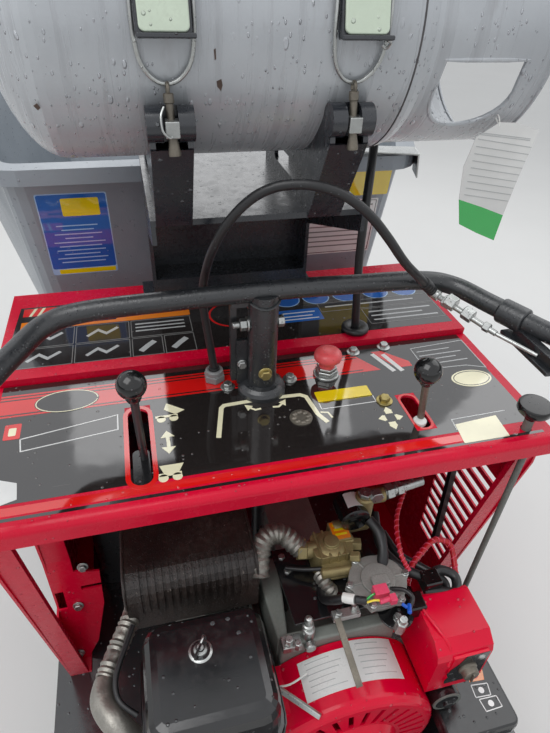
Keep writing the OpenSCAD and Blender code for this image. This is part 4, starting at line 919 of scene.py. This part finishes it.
def build_can():
    make("can_seam", [ring_on_can(SEAM_X, CAN_R - 0.6, 1.4)], "seam_dark")
    rims = [ring_on_can(COLLAR_END, COLLAR_R, 3.6)]
    hole = [(-46, 2), (-46, 28), (-46, 55), (-46, 82), (-46, 108)]
    hole += [(-8 + 54 * sin(t), 55 + 55 * cos(t)) for t in (radians(a) for a in range(0, 181, 12))]
    edge = [on_can(HOLE_X + along, -29 - degrees(asin(low / 149)), COLLAR_R) for low, along in hole]
    rims.append(pipe(edge, 3.2, 10, closed=True))
    make("collar_rims", rims, "cylinder_grey")
    make("can_chips", [patch_on_can([(-61, -18), (-56, -17.2), (-54.5, -19.5), (-56, -22), (-58, -21),
                                     (-60, -20.2)]),
                       patch_on_can([(-244, -27), (-240, -26), (-238, -28), (-241, -29)]),
                       patch_on_can([(-64, -7), (-62, -6.5), (-61.5, -10), (-63, -10.5)])], "chip_brown")
    plate_low = (CAN_R + 12) * tan(radians(-1) - LATCH_TILT)
    dark, pads, wires, bolts, nuts = [], [], [], [], []
    for x in LATCHES:
        dark += [latch_box(x - 26, x + 26, 155.4, 167, plate_low - 3, 46),
                 latch_box(x - 26, x + 29, 166, 173, plate_low - 5, plate_low - 0.5)]
        dark.append(strap([on_can(0, up, STRAP_R) for up in range(16, 250, 6)], x, 25, 1.5))
        base = latch_point(x, PAD_OUT, 0)
        outline = rounded(-PAD_HALF, plate_low, PAD_HALF, 44, 6)
        pads.append(plate(outline, base, X, latch_point(x, PAD_OUT, 1) - base, 4.6))
        half = [(27, 24, 9), (29, 8, 6), (28.5, -3, 5), (24, -11, 4.5), (13, -16.4, 4), (0, -18, 4)]
        side = [on_can(x + dx, up, CAN_R + rise) for dx, up, rise in half]
        wires.append(hose(side + [Vector((2 * x - p.x, p.y, p.z)) for p in side[-2::-1]], 2.3, 6, 14))
        # Bolt that hangs from the bail: eye, ferrule, shank, nut and flared end
        top, foot = Vector((x, 157.5, 431)), Vector((x + 2, 146.5, 368))
        down = (foot - top).normalized()
        bolts += [pipe([top + Vector((0, 5 * sin(t), 5 * cos(t))) for t in turns(16)], 2, 10, closed=True),
                  rod(top + down * 4, top + down * 14, 5.4, 20, 1),
                  rod(top + down * 12, foot - down * 22, 4.2, 20),
                  lathe([(4.5, 0), (5, 8), (6.6, 19), (6.2, 22)], foot - down * 22, down, 20)]
        middle = top + down * 36
        nuts.append(slab(middle + Vector((-7.5, -11, -9)), middle + Vector((7.5, 5, 8))))
    make("latch_housings", dark, "cradle_black", bevel=1.2, stands_for="tank_straps")
    make("latch_pads", pads, "pale_pad", bevel=1.6)
    make("bails", wires, "zinc")
    make("bail_bolts", bolts, "dull_steel")
    make("bail_nuts", nuts, "zinc", bevel=1.4)
    clip = [(-118, 148, 416), (-122, 142, 408), (-121, 138, 395), (-114, 139, 388), (-110, 144, 392)]
    make("safety_clip", [hose(clip, 1.1, 6, 8)], "zinc")
    hook = [on_can(*p) for p in ((112, -2.4, 172), (117, -3.4, 170), (115, -5.4, 165), (111, -4.6, 163))]
    make("latch_hook", [hose(hook, 1.6, 5, 10)], "zinc")


def strap(centre, x, half_width, half_thick):
    """A flat band across X along a line of points."""
    points, faces = [], []
    for i, p in enumerate(centre):
        out = (Vector((0, p.y, p.z)) - Vector((0, CAN_Y, CAN_Z))).normalized()
        for dx, rise in square(-half_width, -half_thick, half_width, half_thick):
            points.append(Vector((x + dx, p.y, p.z)) + out * rise)
        if i:
            faces += [(4 * i - 4 + k, 4 * i - 4 + (k + 1) % 4, 4 * i + (k + 1) % 4, 4 * i + k)
                      for k in range(4)]
    last = 4 * len(centre)
    return points, faces + [(3, 2, 1, 0), (last - 4, last - 3, last - 2, last - 1)]


def build_tag():
    """The blank card on a string at the collar, white above and green below."""
    white = [(304, 383), (327, 382), (366, 372), (356, 315), (349, 258), (311, 272), (272, 285), (267, 329),
             (275, 366)]
    green = [(349, 258), (346, 220), (313, 234), (282, 249), (272, 285), (311, 272)]
    make("tag_card", [upright(white, 190, 0.7)], "film_white")
    make("tag_foot", [upright(green, 190, 0.75)], "film_green")
    rows = []
    for k in range(9):
        low = 292 + 9 * k
        left, right = (278, 350 + 0.16 * (low - 292))
        rows.append(upright([(left, low), (right, low - 13), (right, low - 14), (left, low - 1)], 189.2, 0.3))
    rows += [upright([(276, 372 - 2 * k), (356, 362 - 2 * k), (356, 361 - 2 * k), (276, 371 - 2 * k)],
                     189.2, 0.3) for k in (0, 1)]
    make("tag_lines", rows, "film_pale")
    string = [(304, 189.5, 378), (303, 191, 386), (302, 196, 391), (303, 199, 386), (305, 192, 379)]
    make("tag_string", [hose(string, 0.9, 6, 8)], "wire_white")


def build_tub_strip():
    """Galvanised strip over the tub's near rim, its right end turned down."""
    top = flat([(239, 553), (399, 553), (414, 602), (252, 602)], 236, 2.5)
    for k, rise in ((0, 12), (3, 9), (4, 12), (7, 9)):
        top[0][k] = top[0][k] + Z * rise * (1 if top[0][k].x < 300 else 0)
    fall = ([Vector(p) for p in ((399, 553, 236), (414, 602, 236), (418, 602, 192), (404, 553, 190),
                                 (402, 553, 238.5), (417, 602, 238.5), (421, 602, 192), (407, 553, 190))],
            [(0, 1, 2, 3), (7, 6, 5, 4), (0, 4, 5, 1), (1, 5, 6, 2), (2, 6, 7, 3), (3, 7, 4, 0)])
    make("rim_strip", [top, fall], "zinc", "tub", 0.8)


build_steering()
cable = free_cord("cable", CABLE_ROUTE, 6, None, "control_cable")
build_controls()
build_can()
build_tag()
build_tub_strip()
free_cord("hose", HOSE_ROUTE, 7, "chassis", "gas_hose")
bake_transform(cable)


# Engine bay: gas parts in their own colours, pipes, wires and labels

MUFFLER_ENDS = (-40.5, -242)
CLEANER_X, CLEANER_Y = -144, -100
PLATE_Z = -258
REGULATOR_X, REGULATOR_Y = 138, -42
DRUM_X, DRUM_Z, LABEL_R = 70, -455, 145.4
LID_Z = -431.9


def build_muffler():
    """The muffler's folded seams, and the pipe that leaves it: ribbed foil above, wrapped below."""
    seams = [hose([(x, y + 6, z) for y, z in ((0, -245), (2, -228), (12, -210), (34, -200), (110, -200))],
                  2.2, 5, 8)
             for x in MUFFLER_ENDS]
    make("muffler_seams", seams, "heat_black")
    upper = smooth([(-232, 40, -290), (-244, 5, -282), (-262, -30, -285), (-279, -68, -285)], 10)
    make("pipe_ribbed", [ribbed(upper, 13.2, 2.6, 17)], "foil")
    lower = smooth([(-279, -68, -285), (-281, -98, -285), (-266, -126, -285), (-248, -144, -302),
                    (-222, -160, -320)], 8)
    make("pipe_wrapped", [pipe(lower, lambda s: 14 + 4 * min(1, 5 * s), 24)], "foil")
    lead = [(-236, -10, -262), (-250, -46, -262), (-262, -80, -264), (-258, -108, -268), (-236, -128, -276)]
    make("pipe_lead", [hose(lead, 4, 8)], "rubber")


def build_cleaner_nut():
    foot = [(16, -201.5), (16, -199), (14, -197.5), (9, -197), (9, -193), (6, -190), (4, -186.5), (0, -186)]
    nut = [lathe(foot, (CLEANER_X, CLEANER_Y, 0))]
    turn = radians(65)
    out = X * cos(turn) + Y * sin(turn)
    centre = Vector((CLEANER_X, CLEANER_Y, -190))
    ring = [centre + out * (9 + 7 * cos(t)) + Z * 4.5 * sin(t) for t in turns(20)]
    make("cleaner_nut", nut + [pipe(ring, 1.8, 10, closed=True)], "zinc", crisp=40)
    band = [(x, y, -281) for x, y in rounded(-229.3, -205.3, -42.7, -34.7, 35)]
    make("cleaner_seam", [pipe(band, 2.2, 8, closed=True)], "black_plastic")


def build_gas_parts():
    base = [flat([(-6, 66), (150, 66), (176, -20), (168, -62), (0, -66)], -262, 4),
            post(10, 20, -367, -262, 8, 20), post(140, 20, -367, -262, 8, 20),
            flat(circle(160, -78, 28, 28), -268, 4)]
    make("gas_plate", base, "black_plastic", bevel=1.2, stands_for="gas_mixer")
    # Lock valve: body with bonnet, inlet nut and cast ribs
    bonnet = [(25, -220), (25, -212), (20, -209), (13, -208), (12, -204), (0, -203)]
    body = [flat(rounded(52, 4, 118, 52, 12), PLATE_Z - 1, 47),
            rod((40, 32, -224), (124, 32, -224), 14, 28, 2),
            lathe(bonnet, (84, 28, 0), Z, 40),
            slab((62, -6, -254), (112, 6, -228)), post(150, 66, -218, -154, 16, 32, 3),
            rod((96, 56, -214), (158, 56, -214), 12, 24, 2), rod((150, 66, -160), (184, 66, -160), 13, 28, 2),
            rod((58, -6, -236), (126, -10, -236), 9, 20, 2), rod((58, -10, -246), (120, -12, -246), 4, 12)]
    body += [slab((60 + 14 * k, 2, -253), (64 + 14 * k, 54, -209)) for k in range(4)]
    body.append(slab((88, 26, -240), (120, 63, -205.5)))
    make("lock_valve", body, "brass", bevel=1.6)
    nuts = [rod((28, 35, -221), (44, 33, -222), 18, 6, 1.5), rod((108, 2, -218), (122, -4, -214), 9, 6, 1),
            rod((118, 26, -222), (134, 22, -222), 11, 6, 1), rod((126, -10, -236), (140, -12, -236), 8, 6, 1)]
    make("valve_nuts", nuts, "brass", bevel=0.8)
    make("valve_label", [flat(rounded(90, 28, 118, 61, 2), -205.5, 0.5)], "film_orange")
    make("valve_marks", [flat(square(94, y, 114, y + 4), -205.1, 0.3) for y in (35, 44, 53)], "film_yellow")
    # Shut-off solenoid: coil with a white label round it, and zinc fittings out to the right
    coil = [lathe([(22, 0), (25, 2), (25, 44), (22, 46), (8, 46), (8, 52), (0, 52)], (128, 40, -184), Y, 36)]
    make("coil", coil, "knob_black")
    band = [Vector((128 + 25.4 * sin(t), 0, -184 + 25.4 * cos(t)))
            for t in (radians(a) for a in range(-28, 62, 6))]
    make("coil_label", [sheet_strip(band, 52, 80)], "white_label")
    fittings = [rod((184, 68, -160), (258, 78, -158), 9, 24, 1),
                rod((166, 52, -152), (166, 66, -152), 12, 6, 1),
                rod((186, 68, -160), (200, 70, -160), 14, 6, 1.5),
                rod((206, 71, -160), (218, 73, -160), 13, 6, 1.5), post(150, 66, -158, -146, 12, 6, 1)]
    make("gas_fittings", fittings, "zinc", bevel=0.8)
    # Regulator: six lobes with a bolt in each, ribs between and a raised centre
    lobes = []
    for t in turns(60):
        reach = 43 + 7 * max(0, cos(6 * t)) ** 3
        lobes.append((REGULATOR_X + reach * cos(t) * 1.06, REGULATOR_Y + reach * sin(t)))
    regulator = [flat(lobes, -236, 6), flat(lobes, -229, 5),
                 flat(circle(REGULATOR_X, REGULATOR_Y, 33, 36), -259, 24),
                 flat(circle(REGULATOR_X, REGULATOR_Y, 27, 36), -225, 5),
                 flat(rounded(124, -58, 152, -40, 5), -221, 9)]
    middle = (REGULATOR_X, REGULATOR_Y)
    regulator += [flat(ribbon([middle, (REGULATOR_X + 42 * cos(t), REGULATOR_Y + 42 * sin(t))], 4), -225, 3)
                  for t in turns(6)]
    make("regulator", regulator, "alloy", bevel=1.2)
    bolts = []
    for t in turns(6):
        bolts += hex_head((REGULATOR_X + 46 * cos(t), REGULATOR_Y + 44 * sin(t), -224), Z, 9, 6, 6)
    make("regulator_bolts", bolts, "zinc", bevel=0.5)
    flex = smooth([(-38, 12, -240), (-33, 34, -222), (-24, 50, -206), (-8, 58, -200), (10, 56, -204),
                   (26, 42, -214), (36, 35, -221)], 10)
    make("flex_hose", [ribbed(flex, 15, 2.4, 15)], "foil")
    flex = smooth([(60, 0, -250), (62, -14, -248), (66, -24, -252), (72, -26, -260)], 8)
    make("short_hose", [ribbed(flex, 10, 2.2, 6)], "foil")


def sheet_strip(line, y0, y1, thick=0.5):
    """A thin sheet that follows a line in X and Z, from one Y to another."""
    n = len(line)
    points = [Vector((p.x, y, p.z + up)) for up in (0, thick) for y in (y0, y1) for p in line]
    faces = []
    for k in range(n - 1):
        faces += [(k, k + 1, n + k + 1, n + k), (2 * n + k, 3 * n + k, 3 * n + k + 1, 2 * n + k + 1),
                  (k, 2 * n + k, 2 * n + k + 1, k + 1), (n + k, n + k + 1, 3 * n + k + 1, 3 * n + k)]
    faces += [(0, n, 3 * n, 2 * n), (n - 1, 3 * n - 1, 4 * n - 1, 2 * n - 1)]
    return points, faces


def build_engine_top():
    """Pale crankcase round the black plate, studs, throttle strip, lever and its lead."""
    case = [flat([(-31, 84), (8, 76), (2, 10), (-8, -64), (-24, -62), (-28, 0)], -372, 74),
            flat(rounded(-22, -79, 168, -58, 4), -372, 80)]
    make("crankcase_top", case, "pale_case", bevel=5, segments=3)
    studs = [post(21, -70, -290, -268, 10, 24, 2),
             lathe([(9, 0), (9, 4), (6, 6), (6, 12), (7, 16), (5, 21), (0, 23)], (21, -66, -268), Z, 24),
             slab((-22, -86, -298), (8, -66, -284)), post(-12, -78, -284, -270, 7, 6, 1),
             post(1, -84, -292, -276, 6, 6, 1), rod((20, -80, -292), (20, -92, -292), 9, 24, 2),
             slab((55, -80, -250), (98, -66, -240)), post(64, -73, -246, -234, 6, 6, 1),
             post(90, -70, -246, -232, 5, 6, 1)]
    for place, across, high in (((9, 50, -262), 11, 7), ((12, 23, -262), 11, 7), ((158, -88, -266), 12, 9)):
        studs += hex_head(place, Z, across, high)
    make("engine_studs", studs, "zinc", bevel=1)
    strip = slab((-5, -46, -1.2), (5, 46, 1.2))
    turn = Matrix.Rotation(radians(5), 3, "Z") @ Matrix.Rotation(radians(22), 3, "X")
    strip = ([turn @ Vector(p) + Vector((64, -122, -256)) for p in strip[0]], strip[1])
    make("throttle_strip", [strip], "dull_steel", bevel=0.6)
    make("choke_lever", [rod((-38, -126, -312), (10, -174, -314), 5, 4)], "zinc", bevel=0.8)
    make("cover_lead", [hose([(-44, -118, -322), (-20, -122, -316), (8, -114, -313)], 1.6, 5, 8)],
         "wire_white")


def build_cover_labels():
    """Two blank white labels over the drum's top, with faint lines."""
    for k, (a0, a1, y0, y1) in enumerate(((-29, 2, -149, -92), (4, 37, -146, -84))):
        band = [Vector((DRUM_X + LABEL_R * sin(t), 0, DRUM_Z + LABEL_R * cos(t)))
                for t in (radians(a0 + (a1 - a0) * s / 14) for s in range(15))]
        make(f"cover_label_{k}", [sheet_strip(band, y0, y1, 0.7)], "white_label")
        rows = []
        for i in range(6):
            y = y0 + 9 + (y1 - y0 - 16) * i / 5
            rows.append(sheet_strip([p + Z * 0.65 for p in band[2:13 - (i * 3) % 4]], y, y + 1.2, 0.3))
        make(f"cover_label_rows_{k}", rows, "film_pale")


def build_control_box():
    wave = [(218, -350), (216, -340), (220, -330), (215, -318), (219, -306), (230, -292), (238, -272),
            (277, -272), (277, -350)]
    make("box_face", [upright(wave, -162.2, 0.7)], "black_plastic", bevel=0.2)
    key = [lathe([(15, 0), (15, 3), (13, 5), (12.5, 14), (10, 15), (0, 15)], (248, -162, -310), -Y),
           slab((246.4, -180, -320), (249.6, -176.5, -300))]
    make("key_switch", key, "dull_steel", bevel=0.6)
    make("box_screw", [lathe([(6, 0), (6, 1), (4, 3), (0, 3.6)], (264, -162.5, -282), -Y, 20)], "zinc")
    fold = [(192.5, -70, -249), (198, -100, -248.6), (206, -130, -250), (214, -150, -262), (212, -161, -290)]
    make("box_fold", [hose(fold, 2.4, 6, 8)], "engine_red")


def build_starter_and_battery():
    x, z = 232, -402
    case = [(0, 0), (18, 0), (24.6, 3), (24.6, 70), (22, 71), (22, 74), (24.6, 75), (24.6, 104), (0, 104)]
    starter = [lathe(case, (x, -172.6, z), Y, 40), rod((x, -178, z), (x, -170, z), 8, 24, 1)]
    make("starter", starter, "black_plastic", crisp=40)
    make("lid_label", [flat([(309, -109), (336, -112), (324, -146), (297, -144)], LID_Z, 0.4)], "film_orange")
    make("lid_mark", [flat([(309, -133), (325, -134), (319, -117)], LID_Z, 0.7)], "film_black")
    lines = []
    for quad in ([(297, -149), (326, -152), (322, -170), (295, -168)],
                 [(299, -172), (330, -173), (331, -190), (301, -191)]):
        lines += [flat(ribbon([quad[k], quad[(k + 1) % 4]], 1.4), LID_Z, 0.4) for k in range(4)]
        mid = [sum(q[i] for q in quad) / 4 for i in (0, 1)]
        lines.append(flat(circle(*mid, 5, 16), LID_Z, 0.4))
    make("lid_boxes", lines, "film_white")


def spiral_wire(name, route, radius, winds):
    """A red wire with a pale thread wound round it."""
    path = smooth(route, 8)
    make(name, [pipe(path, radius, 12)], "wire_red")
    wound = []
    count = len(path)
    for i, p in enumerate(path):
        along, side, across = frame_of(path[min(i + 1, count - 1)] - path[max(i - 1, 0)])
        for part in range(6):
            s = (i + part / 6) / count
            q = p.lerp(path[min(i + 1, count - 1)], part / 6)
            t = 2 * pi * winds * s
            wound.append(q + (side * cos(t) + across * sin(t)) * (radius + 0.2))
    make(name + "_thread", [pipe(wound, 0.9, 6)], "wire_pink")


def build_wires():
    spiral_wire("wire_upper", [(258, 108, -170), (234, 84, -190), (204, 42, -204), (190, -8, -216),
                               (196, -34, -232)], 3.6, 22)
    spiral_wire("wire_lower", [(196, -40, -262), (216, -14, -258), (244, 6, -256), (276, 22, -254),
                               (304, 12, -266), (300, -24, -292)], 5, 16)
    hoses = {
        "hose_loop": ([(184, 82, -230), (176, 30, -246), (190, -14, -246), (222, -40, -248),
                       (256, -34, -252), (276, -48, -256),
                       (266, -70, -260), (240, -66, -258), (216, -60, -258)], 8),
        "hose_corrugated": ([(152, 44, -190), (163, 24, -200), (162, -2, -214), (154, -24, -240)], 9),
        "hose_thin": ([(8, 22, -246), (36, 8, -238), (72, -2, -232), (108, -6, -232)], 3.4),
        "hose_second": ([(196, 60, -260), (206, 14, -262), (236, -20, -262), (258, -50, -262),
                         (244, -84, -264)], 6.5),
        "hose_bundle": ([(56, -18, -258), (52, -42, -246), (60, -60, -222), (72, -68, -208)], 7),
        "hose_short": ([(150, -62, -222), (166, -72, -214), (174, -86, -214), (165, -98, -218)], 3.4),
    }
    for name, (route, radius) in hoses.items():
        path = smooth(route, 8)
        make(name, [ribbed(path, radius - 0.6, 1.2, 22, 14) if name == "hose_corrugated"
                    else pipe(path, radius, 14)], "rubber")
    make("white_connector", [rod((70, -66, -208), (84, -76, -202), 7.5, 20, 1)], "wire_white")
    make("black_sleeve", [rod((84, -76, -202), (100, -82, -202), 6, 16, 1)], "rubber")
    pink = [slab((117, -78, -216), (139, -62, -200)), rod((120, -86, -206), (140, -84, -206), 4, 12, 1),
            slab((136, -92, -212), (146, -80, -200))]
    make("pink_connectors", pink, "wire_pink", bevel=2)
    for colour, start, end in (("green", (100, -80, -203), (120, -72, -206)),
                               ("yellow", (100, -84, -203), (122, -84, -206))):
        middle = (Vector(start) + Vector(end)) / 2 + Z * 3
        make(colour + "_wire", [hose([start, middle, end], 1.7, 6, 8)], "film_" + colour)
    make("blue_connector", [rod((165, -94, -216), (159, -108, -214), 3.4, 14, 1),
                            rod((160, -98, -216), (154, -92, -214), 2.6, 12)], "wire_blue")
    make("plug_stud", [rod((150, -108, -258), (148, -112, -226), 9, 6, 1.5),
                       rod((149, -110, -236), (147, -114, -214), 6, 20, 1)], "zinc", bevel=0.8)
    make("relay_boxes", [slab((214, -64, -262), (244, -36, -236)),
                         slab((176, -92, -270), (204, -62, -244))], "knob_black", bevel=3)
    band = [(372, y, z) for y, z in ((146, -222), (140, -290), (134, -360), (128, -436))]
    make("side_strap", [pipe(smooth(band, 4), 8, 4)], "rubber")


def build_side_bolts():
    bolts = []
    for x, z in ((-328, -352), (-352, -450), (-372, -586)):
        y = 174 - 40 * max(0, -330 - z) / 277
        bolts += hex_head((x, y - 1, z), Vector((0, -0.99, 0.14)), 13, 8, 10)
    make("bracket_bolts", bolts, "zinc", bevel=0.6)


def build_engine_bay():
    build_muffler()
    build_cleaner_nut()
    build_gas_parts()
    build_engine_top()
    build_cover_labels()
    build_control_box()
    build_starter_and_battery()
    build_wires()
    build_side_bolts()


build_engine_bay()


# Wheels: tyres with lugs, nuts and caps

TWINS, DRIVE = (372.5, 527.5), (600, 232)
STEER_X, STEER = 300, (-720, 155)
FRONT_TYRE, REAR_TYRE = (232, 145, 102, 22), (155, 92, 77, 22)
# Nuts: out from the wheel's middle, ring, count, size. Caps: out from the middle, radius
FRONT_NUTS, REAR_NUTS = (8.6, 69, 5, 19), (12, 46, 4, 14)
FRONT_CAP, REAR_CAP = (36, 44), (34, 24)
SECTIONS = 96
LUG_HIGH, LUG_DEEP = 6.4, -6


def tyre(x, y, z, radius, width, bead, lugs):
    """A tyre turned about X: a smooth carcass, with slanted lugs on its tread."""
    s = width / 2
    middle = Vector((x, y, z)) - ORIGIN
    tread = radius - 7
    profile = [(bead, -s * 0.7), (bead + 6, -s * 0.82), (bead + 14, -s * 0.84),
               ((radius + bead) / 2, -s * 0.99),
               (radius - 30, -s * 0.97), (radius - 15, -s * 0.85), (tread, -s * 0.62), (tread + 1, 0)]
    profile += [(r, -h) for r, h in profile[-2::-1]]
    points, faces = lathe(profile, middle, X, SECTIONS)
    last = len(points) - SECTIONS
    # The bead's barrel takes the place of the lathe's two caps, so that the rim shows
    barrel = [(last + i, last + (i + 1) % SECTIONS, (i + 1) % SECTIONS, i) for i in range(SECTIONS)]
    parts = [(points, faces[:-2] + barrel)]
    step = 2 * pi / lugs
    for k in range(2 * lugs):
        side = 1 if k % 2 else -1
        points = []
        for rise in (LUG_DEEP, LUG_HIGH):
            for across, turn, half, drop in ((0.06, 0.0, 0.17, 0), (0.74, 0.3, 0.2, 6)):
                r = tread + rise - drop
                for edge in (-half, half):
                    t = (k / 2 + turn + edge) * step
                    points.append(middle + Vector((side * s * across, r * cos(t), r * sin(t))))
        parts.append((points, [(0, 1, 3, 2), (4, 6, 7, 5), (0, 4, 5, 1), (2, 3, 7, 6), (0, 2, 6, 4),
                               (1, 5, 7, 3)]))
    return parts


def wheel_nuts(side, x, y, z, out, ring, count, across):
    parts = []
    for k in range(count):
        t = 2 * pi * (k + 0.5) / count
        place = Vector((side * (x + out), y + ring * cos(t), z + ring * sin(t))) - ORIGIN
        parts += hex_head(place, X * side, across, across * 0.7, across * 0.66)
    return parts


def hub_cap(side, x, y, z, out, r):
    profile = [(r, -0.5), (r, r * 0.1), (r * 0.86, r * 0.2), (r * 0.8, r * 0.28), (0, r * 0.32)]
    return [lathe(profile, Vector((side * (x + out), y, z)) - ORIGIN, X * side, 40)]


def build_wheels():
    for side, k in (("right", 1), ("left", -1)):
        front, rear = f"front_wheels_{side}", f"rear_wheel_{side}"
        twins = [part for x in TWINS for part in tyre(k * x, *DRIVE, *FRONT_TYRE)]
        make(f"tyres_front_{side}", twins, "tyre", front, crisp=32, stands_for=f"front_tyres_{side}")
        single = tyre(k * STEER_X, *STEER, *REAR_TYRE)
        make(f"tyre_rear_{side}", single, "tyre", rear, crisp=32, stands_for=f"rear_tyre_{side}")
        outer, steered = (k, TWINS[1], *DRIVE), (k, STEER_X, *STEER)
        make(f"nuts_front_{side}", wheel_nuts(*outer, *FRONT_NUTS), "zinc", front, 0.6)
        make(f"nuts_rear_{side}", wheel_nuts(*steered, *REAR_NUTS), "zinc", rear, 0.6)
        make(f"cap_{front}", hub_cap(*outer, *FRONT_CAP), "dull_steel", front)
        make(f"cap_{rear}", hub_cap(*steered, *REAR_CAP), "dull_steel", rear)


build_wheels()


# Stage and light

FLOOR_HALF = 30
AIM = Vector((0, 0, 0.7))
# Each lamp's place, size and power
LAMPS = {"key": ((-1.6, -1.2, 4.2), 2.6, 62), "fill": ((2.6, 0.6, 3.6), 3.0, 34),
         "rear": ((0.4, 3.4, 3.2), 2.6, 26)}


def set_stage():
    scene = bpy.context.scene
    floor_look = Tree("floor")
    tone = floor_look.mix(floor_look.noise(1.5, 3), srgb(226, 226, 224), srgb(233, 233, 231))
    floor_look.finish(Base_Color=tone, Roughness=0.85)
    mesh = bpy.data.meshes.new("floor")
    corners = [(x * FLOOR_HALF, y * FLOOR_HALF, 0) for x, y in ((-1, -1), (1, -1), (1, 1), (-1, 1))]
    mesh.from_pydata(corners, [], [(0, 1, 2, 3)])
    floor = bpy.data.objects.new("floor", mesh)
    scene.collection.objects.link(floor)
    mesh.materials.append(floor_look.material)

    scene.world = bpy.data.worlds.new("studio")
    sky = Nodes(scene.world)
    sky.nodes.clear()
    path = sky.add("ShaderNodeLightPath").outputs
    seen = sky.math("MAXIMUM", path["Is Camera Ray"], path["Is Glossy Ray"])
    clear = sky.math("MAXIMUM", seen, path["Is Transmission Ray"])
    level = sky.add("ShaderNodeMapRange", {"To Min": 0.62, "To Max": 1.0, "Value": clear}).outputs[0]
    glow = sky.add("ShaderNodeBackground", {"Color": (0.95, 0.97, 1.0, 1), "Strength": level}).outputs[0]
    sky.add("ShaderNodeOutputWorld", {0: glow})

    for name, (place, size, power) in LAMPS.items():
        lamp = bpy.data.lights.new(name, "AREA")
        lamp.energy = power
        lamp.size = size
        holder = bpy.data.objects.new(name, lamp)
        scene.collection.objects.link(holder)
        holder.location = place
        holder.rotation_euler = (AIM - Vector(place)).to_track_quat("-Z", "Y").to_euler()
    scene.view_settings.view_transform = "Standard"


set_stage()
